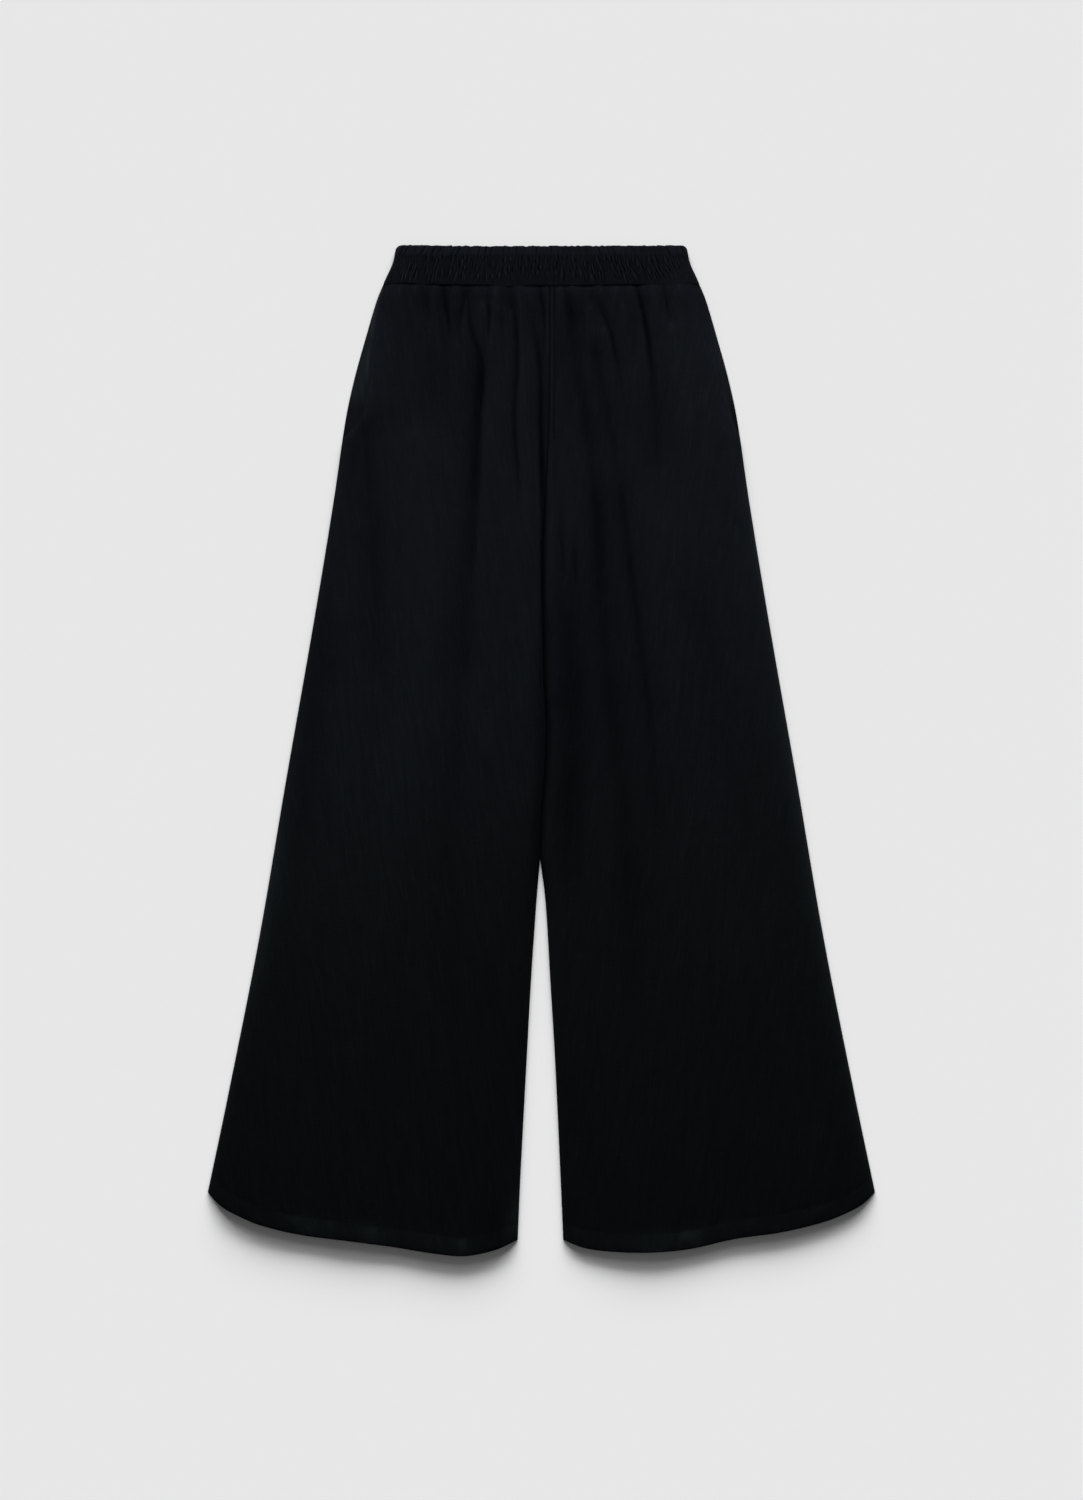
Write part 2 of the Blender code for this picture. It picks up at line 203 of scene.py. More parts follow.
@dataclass(frozen=True)
class Outline:
    """The outline of the garment and of its four legs, as its solids have it."""

    length: float = 1009
    band_depth: float = 38  # of the waistband, at the side seams
    band_sag: float = 3  # how much lower its seam lies at the middle
    band_corner: float = 5  # radius of its top corners
    top_dip: float = 1  # how far its top edge dips at the middle
    seam: float = 0.16  # clearance between two pieces that are sewn together
    crotch: float = 611  # the drop below which the legs lie apart
    side: Curve = Curve(  # half the garment's width at each drop
        (0, 18, 34, 54, 94, 134, 174, 254, 374, 534, 694, 854, 946),
        (144.5, 148.3, 155.5, 164, 176, 187, 195.5, 207.3, 227, 255, 282.3, 314, 333.3),
    )
    # X of the centre seams, the right and left inner edges below them, and the drops of the hems
    front_seam: Curve = Curve(WAIST_TO_CROTCH, (8.1, 8.1, 7.2, 4.4, 1.5, 1.1, 2.6, 4.6, 3.6, -0.4, -1.4))
    back_seam: Curve = Curve(WAIST_TO_CROTCH, (0, 0.5, 1, 1.5, 1.5, 1.1, 2.6, 4.6, 3.6, -0.4, -1.4))
    inner_edges: tuple[Curve, Curve] = (
        Curve(CROTCH_TO_HEM, (-1.4, -5, -10.5, -14.9, -21.3, -24.4)),
        Curve(CROTCH_TO_HEM, (-1.4, 4.1, 9, 13.8, 19.4, 22.6)),
    )
    hems: tuple[Curve, Curve] = (
        Curve(SIDE_TO_INNER, (946, 959, 969.5, 978.5, 988, 993.9, 1000, 1006, 1009, 1003, 993.5)),
        Curve(SIDE_TO_INNER, (946, 957.8, 967.8, 976, 985.5, 992, 1002.2, 1005.5, 1005, 1001.5, 993.5)),
    )
    seam_shows: Curve = Curve(  # how plainly the seam under the waistband shows at each X, in its shape and in its painted shadow
        (-151, -139, -124, -118, -112, -54, -47, -20, -14, 26, 31, 36, 50, 57, 63, 97, 106),
        (0.2, 1, 0.9, 0.3, 1, 1, 0.2, 0.2, 0.9, 0.9, 0.4, 1, 1, 0.3, 1, 1, 0.1),
    )

    def half_width(self, drop: Array) -> Array:
        """Half-width of the garment at a drop, with the waistband's top corners rounded."""
        return self.side.at(drop) - self.band_corner * rounding(drop, self.band_corner)

    @property
    def waist(self) -> float:
        """Half-width of the garment at the ends of the seam under the waistband."""
        return float(self.half_width(self.band_depth))

    def inner_x(self, side: Side, drop: Array, front: bool) -> Array:
        """X of a leg's inner edge.

        Args:
            side: the leg's side.
            drop: where to read it.
            front: whether it is the front leg, whose seam swings to the wearer's left.

        Returns:
            The X at each drop.
        """
        above = (self.front_seam if front else self.back_seam).at(drop)
        below = self.inner_edges[side is Side.LEFT].at(drop)
        return np.where(drop < self.crotch, above, below) + side.value * self.seam / 2

    def band_seam(self, x: Array) -> Array:
        """Drop of the seam under the waistband at an X."""
        return self.band_depth + self.band_sag * (1 - (x / self.waist) ** 2)

    def hem(self, side: Side, across: Array) -> Array:
        """Drop of a leg's hem at a share of the way from its side seam to its inner seam."""
        return self.hems[side is Side.LEFT].at(across)

    def y(self, drop: Array) -> Array:
        """Y of a drop."""
        return self.length / 2 - drop


OUTLINE = Outline()


# ---- meshes


def down(rows: int, crowding: float = 1) -> Array:
    """Shares of the way down a mesh for each of its rows, crowded towards its top."""
    return (np.arange(rows + 1) / rows)[:, None] ** crowding


def joined(*parts: Any) -> Array:
    """Arrays joined along a new last axis, such as X, Y and Z into points."""
    return np.stack(np.broadcast_arrays(*parts), axis=-1)


def mesh_object(name: str, points: Array, faces: Array) -> Object:
    """Make a smooth mesh object and put it in the scene.

    Args:
        name: the piece's name.
        points: its points, in millimetres.
        faces: the point numbers of its faces, all with four corners.

    Returns:
        The new object.
    """
    mesh = bpy.data.meshes.new(name)
    mesh.from_pydata((points * MM).tolist(), [], faces.tolist())
    mesh.update()
    mesh.shade_smooth()
    piece = bpy.data.objects.new(name, mesh)
    bpy.context.scene.collection.objects.link(piece)
    return piece


@dataclass(frozen=True)
class Shell:
    """A closed wall of cloth between two grids of points, with rounded rims."""

    bulge: float = 0.22  # how far the middle of a rim stands out past the cloth's edge

    def build(self, name: str, x: Array, drop: Array, top: Array, under: Array, painted_shading: Any = 0.0) -> Object:
        """Make the wall.

        Args:
            name: the piece's name.
            x: X of each point, rows by columns.
            drop: drop of each point.
            top: height of the outer face at each point.
            under: height of the inner face.
            painted_shading: how much of its brightness painted shade takes from the cloth at each point,
                below 0 where a painted highlight adds to it.

        Returns:
            The new object.
        """
        y, top, under, painted_shading = (np.broadcast_to(part, x.shape) for part in (OUTLINE.y(drop), top, under, painted_shading))
        if x[0, -1] < x[0, 0]:
            x, y, top, under, painted_shading = (grid[:, ::-1] for grid in (x, y, top, under, painted_shading))
        number = np.arange(x.size).reshape(x.shape)
        rim = np.concatenate([number[:-1, 0], number[-1, :-1], number[:0:-1, -1], number[0, :0:-1]])
        upper, lower = (joined(x, y, z).reshape(-1, 3) for z in (top, under))
        middle = (upper[rim] + lower[rim]) / 2
        middle[:, :2] += self._outwards(upper[rim, :2]) * self.bulge
        quads = joined(number[:-1, :-1], number[1:, :-1], number[1:, 1:], number[:-1, 1:]).reshape(-1, 4)
        ring = 2 * x.size + np.arange(len(rim))
        far_rim, next_rim, next_ring = rim + x.size, np.roll(rim, -1), np.roll(ring, -1)
        upper_rim = joined(rim, ring, next_ring, next_rim)
        lower_rim = joined(ring, far_rim, np.roll(far_rim, -1), next_ring)
        faces = np.concatenate([quads, quads[:, ::-1] + x.size, upper_rim, lower_rim])
        piece = mesh_object(name, np.concatenate([upper, lower, middle]), faces)
        painted_shadings = np.concatenate([painted_shading.ravel(), painted_shading.ravel(), painted_shading.ravel()[rim]])
        piece.data.attributes.new(PAINTED_SHADING, "FLOAT", "POINT").data.foreach_set("value", painted_shadings)
        return piece

    @staticmethod
    def _outwards(loop: Array) -> Array:
        """Find the way out of a closed loop, seen from above.

        Args:
            loop: X and Y of its points.

        Returns:
            A unit arrow at each of them.
        """
        along = np.roll(loop, -1, axis=0) - np.roll(loop, 1, axis=0)
        length = np.linalg.norm(along, axis=1, keepdims=True)
        return joined(along[:, 1], -along[:, 0]) / np.maximum(length, 1e-9)


@dataclass(frozen=True)
class Stitching:
    """Rows of stitches along lines on the cloth, joined into one piece."""

    pitch: float = 3.2
    shown: float = 0.74  # share of the pitch that the thread shows for
    thread: float = 0.42  # its thickness
    sunk: float = 0.3  # how far a stitch's ends go into the cloth
    sides: int = 6
    rings: tuple[float, ...] = (0, 0.12, 0.32, 0.5, 0.68, 0.88, 1)

    def build(self, name: str, lines: Sequence[Array]) -> Object:
        """Make the stitches.

        Args:
            name: the piece's name.
            lines: the points of each row's line on the cloth.

        Returns:
            The new object.
        """
        sharp = (2 * np.array(self.rings) - 1) ** 4
        radius = self.thread / 2 * np.sqrt(np.maximum(1 - sharp, 0.06))
        middles = np.concatenate([self._middles(line) for line in lines])
        middles[:, :, 2] += self.thread * 0.1 - self.sunk * sharp
        ahead = middles[:, -1] - middles[:, 0]
        ahead[:, 2] = 0
        ahead /= np.linalg.norm(ahead, axis=1, keepdims=True)
        aside = joined(ahead[:, 1], -ahead[:, 0], 0.0)
        turn = 2 * math.pi * np.arange(self.sides)[:, None] / self.sides
        out = aside[:, None] * np.cos(turn) + np.sin(turn) * (0, 0, 1)
        points = middles[:, :, None] + out[:, None] * radius[:, None, None]
        return mesh_object(name, points.reshape(-1, 3), self._faces(len(middles)))

    def _middles(self, line: Array) -> Array:
        """Place the stitches along a line.

        Args:
            line: its points.

        Returns:
            The middles of the stitches' rings, stitches by rings by 3.
        """
        reach = np.append(0, np.cumsum(np.linalg.norm(np.diff(line, axis=0), axis=1)))
        starts = np.arange(0, reach[-1] - self.pitch * self.shown, self.pitch)
        at = starts[:, None] + np.array(self.rings) * self.pitch * self.shown
        return joined(*(np.interp(at, reach, line[:, k]) for k in range(3)))

    def _faces(self, stitches: int) -> Array:
        """The faces of the stitches: tubes of rings, with their ends closed.

        Args:
            stitches: how many there are.

        Returns:
            The point numbers of the faces.
        """
        near, sides, last = np.arange(self.sides), self.sides, len(self.rings) - 1
        band = joined(near, np.roll(near, -1), np.roll(near, -1) + sides, near + sides)
        cap = np.array([[0, 5, 4, 3], [0, 3, 2, 1]])
        tube = [band + ring * sides for ring in range(last)]
        one = np.concatenate([*tube, cap, cap[:, ::-1] + last * sides])[:, ::-1]
        return (one + (np.arange(stitches) * (last + 1) * sides)[:, None, None]).reshape(-1, 4)


UNDER_STITCHING = Stitching(sunk=-0.1, thread=0.3)  # proud of the underside


# ---- shader maths and finishes


class Value:
    """What varies over a surface: one shader socket, with arithmetic on its numbers."""

    def __init__(self, graph: "Graph", socket: bpy.types.NodeSocket) -> None:
        """Wrap a socket of a graph."""
        self.graph, self.socket = graph, socket

    def _math(self, operation: str, first: Any, second: Any = 0.0) -> "Value":
        """The result of a Math node on one or two numbers or Values."""
        return self.graph.node("ShaderNodeMath", {"operation": operation}, {0: first, 1: second})

    def __add__(self, other: Any) -> "Value":
        """self + other"""
        return self._math("ADD", self, other)

    __radd__ = __add__

    def __sub__(self, other: Any) -> "Value":
        """self - other"""
        return self._math("SUBTRACT", self, other)

    def __rsub__(self, other: Any) -> "Value":
        """other - self"""
        return self._math("SUBTRACT", other, self)

    def __mul__(self, other: Any) -> "Value":
        """self * other"""
        return self._math("MULTIPLY", self, other)

    __rmul__ = __mul__

    def sine(self) -> "Value":
        """The sine of an angle in radians."""
        return self._math("SINE", self)


class Graph:
    """The node tree of a new Principled material."""

    def __init__(self, name: str) -> None:
        """Start a material with a plain Principled shader.

        Args:
            name: the material's name.
        """
        self.material = bpy.data.materials.new(name)
        self.material.use_nodes = True
        self.tree = self.material.node_tree

    def plug(self, node: bpy.types.Node, inputs: dict[Any, Any]) -> None:
        """Link a node's inputs to Values, or set them to numbers, colours or vectors.

        Args:
            node: the node.
            inputs: the value or link of each of its sockets, by name or number.
        """
        for name, value in inputs.items():
            if isinstance(value, Value):
                self.tree.links.new(value.socket, node.inputs[name])
            else:
                node.inputs[name].default_value = value

    def node(self, kind: str, settings: dict[str, Any], inputs: dict[Any, Any], output: Any = 0) -> Value:
        """Add a node.

        Args:
            kind: the node's type.
            settings: its own settings, where "stops" are a ramp's (place, grey) pairs.
            inputs: the value or link of each of its sockets, by name or number.
            output: the name or number of the output that is wanted.

        Returns:
            That output.
        """
        made = self.tree.nodes.new(kind)
        for name, setting in settings.items():
            if name == "stops":
                self._set_stops(made.color_ramp, setting)
            else:
                setattr(made, name, setting)
        self.plug(made, inputs)
        return Value(self, made.outputs[output])

    @staticmethod
    def _set_stops(ramp: bpy.types.ColorRamp, stops: Sequence[tuple[float, float]]) -> None:
        """Give a colour ramp of two stops its own two, as greys."""
        for element, (place, grey) in zip(ramp.elements, stops):
            element.position, element.color = place, (grey, grey, grey, 1)

    def finish(self, inputs: dict[str, Any]) -> Material:
        """The material, with the shader's sockets given these values or links."""
        self.plug(self.tree.nodes["Principled BSDF"], inputs)
        return self.material

    def millimetres(self, tilt: float = 0) -> Value:
        """Measure the place on the piece in millimetres, along its threads.

        Args:
            tilt: how far the threads are tilted, in degrees.

        Returns:
            The place.
        """
        place = self.node("ShaderNodeTexCoord", {}, {}, "Object")
        turned = {"Vector": place, "Rotation": (0, 0, math.radians(tilt)), "Scale": (1 / MM, 1 / MM, 1 / MM)}
        return self.node("ShaderNodeMapping", {"vector_type": "POINT"}, turned)

    def axis(self, place: Value, name: str) -> Value:
        """The X, Y or Z of a place."""
        return self.node("ShaderNodeSeparateXYZ", {}, {0: place}, name)

    def noise(self, place: Value, scale: tuple[float, float, float], detail: float = 2) -> Value:
        """Soft noise from 0 to 1, with so many waves to a millimetre along each axis."""
        at = self.node("ShaderNodeVectorMath", {"operation": "MULTIPLY"}, {0: place, 1: scale})
        return self.node("ShaderNodeTexNoise", {}, {"Vector": at, "Scale": 1, "Detail": detail}, "Fac")

    def ramp(self, value: Value, low: float, high: float) -> Value:
        """A Value bent to go from 0 to 1 between a low and a high one."""
        return self.node("ShaderNodeValToRGB", {"stops": ((low, 0), (high, 1))}, {"Fac": value})

    def blend(self, first: Any, second: Any, share: Value) -> Value:
        """The colour a share of the way from one colour to another."""
        inputs = {"Factor": share, "A": first, "B": second}
        return self.node("ShaderNodeMix", {"data_type": "RGBA"}, inputs, "Result")

    def tinted(self, colour: Colour, low_colour: Colour, low: Value, brightness: Value) -> Value:
        """The colour a share low of the way to low_colour, times a brightness up to 2, bluer where darker.
        """
        double = ((*(2 * part for part in ends), 1) for ends in (colour, low_colour))
        return self.blend(SHADE, self.blend(*double, low), brightness * 0.5)

    def bumped(self, height: Value) -> Value:
        """The surface's normal, bent by a height in millimetres."""
        return self.node("ShaderNodeBump", {}, {"Distance": MM, "Height": height})


@dataclass(frozen=True)
class Linen:
    """Matt black linen in plain weave, with slubs, soft fading and a faint nap."""

    name: str
    colour: Colour = (0.0063, 0.0075, 0.0093)  # towards the waist
    low_colour: Colour = (0.0062, 0.0078, 0.0084)  # towards the hems
    tilt: float = 0  # how far its threads lean from the garment's own axes, in degrees
    thread: float = 0.75  # distance from one thread to the next
    crumple: float = 0.10
    weave_height: float = 0.05
    slub_height: float = 0.06
    roughness: float = 0.86
    nap: float = 0.006
    nap_roughness: float = 0.45
    gloss: float = 0.005

    def material(self) -> Material:
        """Make the material.

        Returns:
            The material.
        """
        graph = Graph(self.name)
        place = graph.millimetres(self.tilt)
        x, y = graph.axis(place, "X"), graph.axis(place, "Y")
        drift = graph.noise(place, (0.09, 0.09, 0.09)) * 2.4
        across, down = ((axis * (math.pi / self.thread) + drift).sine() for axis in (x, y))
        weave = across * down * 0.5 + 0.5
        weft = graph.ramp(graph.noise(place, (0.07, 1.25, 1)), 0.56, 0.74)
        warp = graph.ramp(graph.noise(place, (0.95, 0.03, 1)), 0.50, 0.72)
        cloudy = graph.noise(place, (0.018, 0.011, 0.018), detail=3)
        crumple = graph.noise(place, (0.085, 0.05, 0.085), detail=4)
        streaky = graph.noise(place, (0.16, 0.016, 0.16), detail=4)
        # brightness: the mesh's painted shade and highlights, the yarn's own uneven tone and slubs, and the
        # weave painted darker in its hollows, where its bump is low
        painted_shading = graph.node("ShaderNodeAttribute", {"attribute_name": PAINTED_SHADING}, {}, "Fac")
        brightness = (cloudy * 0.22 + 0.84) * (streaky * 0.40 + 0.80) * (weft * 0.22 + 0.95)
        brightness = brightness * (warp * 0.30 + 0.92) * (weave * 0.14 + 0.93) * (1 - painted_shading)
        slubs = weft * self.slub_height + warp * (0.6 * self.slub_height)
        height = weave * self.weave_height + slubs + crumple * self.crumple
        low = (300 - y) * (1 / 600)
        return graph.finish(
            {
                "Base Color": graph.tinted(self.colour, self.low_colour, low, brightness),
                "Roughness": self.roughness - weft * 0.08 + cloudy * 0.06,
                "Normal": graph.bumped(height),
                "Specular IOR Level": self.gloss,
                "Sheen Weight": self.nap,
                "Sheen Roughness": self.nap_roughness,
            }
        )


@dataclass(frozen=True)
class Thread:
    """Black sewing thread of two twisted plies."""

    name: str = "sewing_thread"
    colour: Colour = (0.0042, 0.0047, 0.0057)
    twist: float = 0.55
    ply_height: float = 0.05
    roughness: float = 0.8
    gloss: float = 0.04

    def material(self) -> Material:
        """Make the material.

        Returns:
            The material.
        """
        graph = Graph(self.name)
        place = graph.millimetres()
        lean = graph.axis(place, "X") + graph.axis(place, "Y")
        ply = (lean * (2 * math.pi / self.twist)).sine() * 0.5 + 0.5
        paleness = graph.noise(place, (0.4, 0.4, 0.4))
        return graph.finish(
            {
                # the twist painted darker in its grooves, where its bump is low, over the thread's own
                # uneven tone
                "Base Color": graph.tinted(self.colour, self.colour, paleness, ply * 0.3 + paleness * 0.5 + 0.6),
                "Roughness": self.roughness + paleness * 0.1,
                "Normal": graph.bumped(ply * self.ply_height),
                "Specular IOR Level": self.gloss,
            }
        )


@dataclass(frozen=True)
class Paper:
    """Matt white paper."""

    name: str = "floor_paper"
    white: float = 0.8
    roughness: float = 1
    gloss: float = 0

    def material(self) -> Material:
        """Make the material.

        Returns:
            The material.
        """
        colour = (self.white, self.white, self.white, 1)
        return Graph(self.name).finish(
            {"Base Color": colour, "Roughness": self.roughness, "Specular IOR Level": self.gloss}
        )


# ---- creases and gathers

ROUTE_DROPS = (42, 80, 120, 180, 260, 340, 480, 640, 1000)


@dataclass(frozen=True)
class Crease:
    """A soft trough down a leg, with painted shade along it, or painted light alone where it has no depth.
    """

    name: str
    start: float  # the drop at which it begins
    end: float  # and at which it has faded out
    depth: float  # share of the cloth's lift that it takes away
    width: float  # half its width
    ridge: float  # share of the lift that is heaped up beside it, on the side of the sign
    route: tuple[float, ...]  # its X at each of ROUTE_DROPS, past its end if no further
    painted_shading: float = 0.3  # share of the cloth's brightness that painted shade takes away between its sides, or that painted highlight adds if below 0
    core: float = 0  # share more that painted shade takes away along the thin line at its bottom
    lean: float = 0  # how much wider it is towards +X than towards -X, as a share of its width
    growth: float = 0  # how much wider it is at its end than at its start, as a share
    point: float = 1.4  # width of its rounded bottom
    fade: float = 110  # drop over which it fades out
    top_fade: float = 16  # and over which it begins
    line: float = 1.3  # half the width of the thin line
    heap_place: float = 2.1  # from its middle to what is heaped up beside it, in its widths
    heap_width: float = 1.3
    unevenness: float = 0.22  # of its depth along its length

    def x(self, drop: Array) -> Array:
        """X of the crease at a drop."""
        return Curve(ROUTE_DROPS[: len(self.route)], self.route).at(drop)

    def share(self, x: Array, drop: Array, waver: Waver) -> Array:
        """Share of the lift that the crease leaves.

        Args:
            x: X of each point.
            drop: drop of each point.
            waver: makes its depth uneven.

        Returns:
            The share at each point.
        """
        away = self._away(x, drop)
        heap = abs(self.ridge) * bell(away - math.copysign(self.heap_place, self.ridge), self.heap_width)
        return 1 - self._along(drop, waver) * (self.depth * self._trough(away) - heap)

    def light(self, x: Array, drop: Array, waver: Waver) -> Array:
        """Share of its brightness that the crease's painted shade leaves the cloth, for the same arguments.
        """
        lost = self.painted_shading * self._trough(self._away(x, drop)) + self.core * bell(x - self.x(drop), self.line)
        return 1 - self._along(drop, waver) * lost

    def _along(self, drop: Array, waver: Waver) -> Array:
        """How deep the crease is along its length, a little uneven.

        Args:
            drop: drop of each point.
            waver: makes its depth uneven.

        Returns:
            The share of its depth at each point.
        """
        fade = min(self.fade, (self.end - self.start) * 0.6)
        along = rise(drop, self.start, self.top_fade) * ease((self.end - drop) / fade)
        return along * (1 + self.unevenness * waver.at(self.x(drop), drop))

    def _away(self, x: Array, drop: Array) -> Array:
        """Distance from the crease's middle, as a share of its width on that side.

        Args:
            x: X of each point.
            drop: drop of each point.

        Returns:
            The distance at each point, below 0 towards -X.
        """
        away = x - self.x(drop)
        grown = 1 + self.growth * rise(drop, self.start, self.end - self.start)
        return away / (self.width * grown * (1 + self.lean * np.sign(away)))

    def _trough(self, away: Array) -> Array:
        """How deep the crease is at a share of its width from its middle."""
        point = self.point / self.width
        return np.exp(-((np.sqrt(away**2 + point**2) - point) ** 1.35))


RIGHT_LONG = (-74, -71, -59.5, -62, -65, -70.5, -81, -89, -85)
LEFT_SHARP = (96, 103.5, 109.5, 114.5, 118, 124, 150, 175, 190)
# dim and core are painted shade in each crease; a dim below 0 is a painted highlight, and a crease of depth
# 0 is painted light alone
RIGHT_CREASES = (
    Crease("outer_dart", 33, 92, 0.40, 3.6, 0.05, (-119, -111, -112, -122, -133, -142, -158, -176, -215),
           painted_shading=0.13),
    Crease("short_dart", 33, 118, 0.66, 4.2, -0.06, (-98, -92.5, -91, -93),
           painted_shading=0.18, core=0.22, top_fade=6),
    Crease("side_line", 36, 112, 0.40, 3.0, 0.04, (-75, -81, -81, -84), painted_shading=0.14, core=0.08, top_fade=12),
    Crease("upper_line", 33, 150, 0.48, 3.6, 0.04, RIGHT_LONG,
           painted_shading=0.14, core=0.12, growth=0.5, fade=40, top_fade=6),
    Crease("long_crease", 76, 500, 0.84, 6.2, 0.04, RIGHT_LONG,
           painted_shading=0.32, lean=-0.3, growth=1.4, point=2, fade=230, top_fade=70),
    Crease("long_line", 112, 190, 0.05, 2.4, 0, RIGHT_LONG, painted_shading=0, core=0.32, fade=40, top_fade=24),
    Crease("low_crease", 300, 1000, 0.50, 14, 0.03, RIGHT_LONG,
           painted_shading=0.17, lean=-0.2, point=5, fade=420, top_fade=130),
    Crease("thin_dart", 33, 124, 0.30, 2.8, 0.04, (-53, -53, -57, -60, -62),
           painted_shading=0.08, core=0.06, top_fade=6),
    Crease("faint_line", 62, 170, 0.20, 3.0, 0.03, (-42, -40, -37, -38, -40), painted_shading=0.12, fade=60),
    Crease("inner_crease", 33, 310, 0.56, 5.4, 0.04, (-32, -25, -24.5, -27, -22, -26, -30, -36, -60),
           painted_shading=0.13, core=0.06, top_fade=6),
    Crease("seam_line", 33, 118, 0.40, 2.6, 0.04, (-1.5, 3.2, 1, 0),
           painted_shading=0.32, core=0.15, fade=30, top_fade=6),
    Crease("centre_crease", 44, 330, 0.94, 8, -0.03, (-12, -8.5, -2.6, -1.8, 0, 1, -1, -10, -40),
           painted_shading=0.38, lean=0.25, growth=-0.7, top_fade=80),
    Crease("upper_sweep", 150, 520, 0.84, 16, 0.03, (-172, -174, -176, -174, -168, -163, -158, -163, -180),
           painted_shading=0.22, lean=0.2, point=4, fade=170, top_fade=40),
    Crease("lower_sweep", 360, 760, 0.55, 18, 0.03, (-185, -188, -192, -196, -200, -204, -217, -241, -262),
           painted_shading=0.08, point=6, fade=200, top_fade=80),
    # painted highlight over the thigh, with no trough
    Crease("thigh_highlight", 230, 740, 0, 34, 0, (-112, -112, -112, -112, -113, -117, -140, -168, -200),
           painted_shading=-0.09, point=10, top_fade=80),
    Crease("hip_hollow", 10, 220, 0.10, 36, 0, (-98, -98, -100, -104, -108, -114),
           painted_shading=0.25, point=8, fade=90, top_fade=30),
)
# painted shade and painted highlights as in RIGHT_CREASES
LEFT_CREASES = (
    # painted highlight along the side, with no trough
    Crease("side_highlight", 14, 520, 0, 24, 0, (140, 157, 170, 184, 201, 212, 235, 266, 325),
           painted_shading=-0.09, point=10, top_fade=30),
    Crease("hip_dart", 33, 92, 0.50, 3.2, 0.05, (122, 128, 133, 141), painted_shading=0.16, core=0.22, top_fade=6),
    Crease("sharp_crease", 33, 300, 0.74, 3.4, -0.05, LEFT_SHARP,
           painted_shading=0.20, core=0.10, growth=3.8, top_fade=6),
    Crease("sharp_line", 33, 158, 0.05, 2.4, 0, LEFT_SHARP, painted_shading=0, core=0.20, fade=60, top_fade=6),
    Crease("fly_dart", 42, 104, 0.14, 2.6, 0.04, (26, 31, 34.5, 43),
           painted_shading=0.04, core=0.16, fade=40, top_fade=12),
    Crease("beside_line", 62, 150, 0.26, 2.8, 0.04, (94, 93, 91, 93, 96), painted_shading=0.14, fade=50),
    Crease("mid_crease", 86, 800, 0.76, 8, 0.03, (50, 54, 57, 69, 82, 92, 109, 121, 130),
           painted_shading=0.21, growth=0.2, point=2, fade=380, top_fade=30),
    Crease("oblique_crease", 33, 215, 0.44, 3.7, 0.03, (49, 66.5, 76.5, 87, 98, 110),
           painted_shading=0.17, core=0.20, growth=0.8, fade=120, top_fade=50),
    Crease("long_crease", 33, 860, 0.80, 11.5, -0.03, (25, 29.5, 34, 43.5, 53.5, 58, 72, 87, 102),
           painted_shading=0.33, lean=0.2, growth=0.3, point=2.4, fade=300, top_fade=50),
    Crease("calf_crease", 300, 700, 0.88, 17, 0.03, (14, 15, 16, 18, 21, 25, 31, 31, 60),
           painted_shading=0.4, point=5, fade=130, top_fade=110),
    Crease("fly_line", 176, 300, 0.14, 3.4, 0, (15, 15, 15, 15, 15, 16, 18),
           painted_shading=0.16, fade=70, top_fade=20),
    Crease("fly_hollow", 70, 240, 0.12, 10, 0, (18, 18, 18, 18, 19, 20),
           painted_shading=0.22, point=4, fade=80, top_fade=40),
    Crease("hip_hollow", 10, 150, 0.10, 22, 0, (50, 52, 62, 72, 76),
           painted_shading=0.08, point=6, fade=60, top_fade=30),
    Crease("hip_patch", 126, 246, 0.05, 11, 0, (108, 108, 108, 111, 114, 116),
           painted_shading=0.15, point=6, fade=60, top_fade=40),
    Crease("seat_line", 262, 362, 0.40, 3.4, 0.05, (18, 18, 18, 18, 19, 23, 28, 34),
           painted_shading=0.16, fade=50, top_fade=40),
    Crease("seat_fold", 280, 372, 0.34, 3.0, 0.05, (30, 30, 30, 30, 30, 35, 40, 44),
           painted_shading=0.16, fade=50, top_fade=40),
    Crease("lower_sweep", 320, 760, 0.58, 18, 0.03, (120, 127, 133, 141, 146, 150, 176, 218, 250),
           painted_shading=0.08, point=6, fade=200, top_fade=80),
)


@dataclass(frozen=True)
class Gather:
    """A small ridge of gathered cloth under the waistband."""

    x: float  # its X where it leaves the waistband
    low_x: float  # its X 80 mm further down
    start: float  # the drop at which it begins
    end: float  # and at which it has faded out
    height: float
    width: float  # half its width

    def at(self, x: Array, drop: Array) -> Array:
        """Read the ridge.

        Args:
            x: X of each point.
            drop: drop of each point.

        Returns:
            Its height at each point.
        """
        middle = mix(self.x, self.low_x, (drop - OUTLINE.band_depth) / 80)
        fade = fall(drop, self.start, self.end - self.start)
        widened = self.width * (1.4 - 0.4 * fade)
        return self.height * rise(drop, self.start - 8, 8) * fade * bell(x - middle, widened)


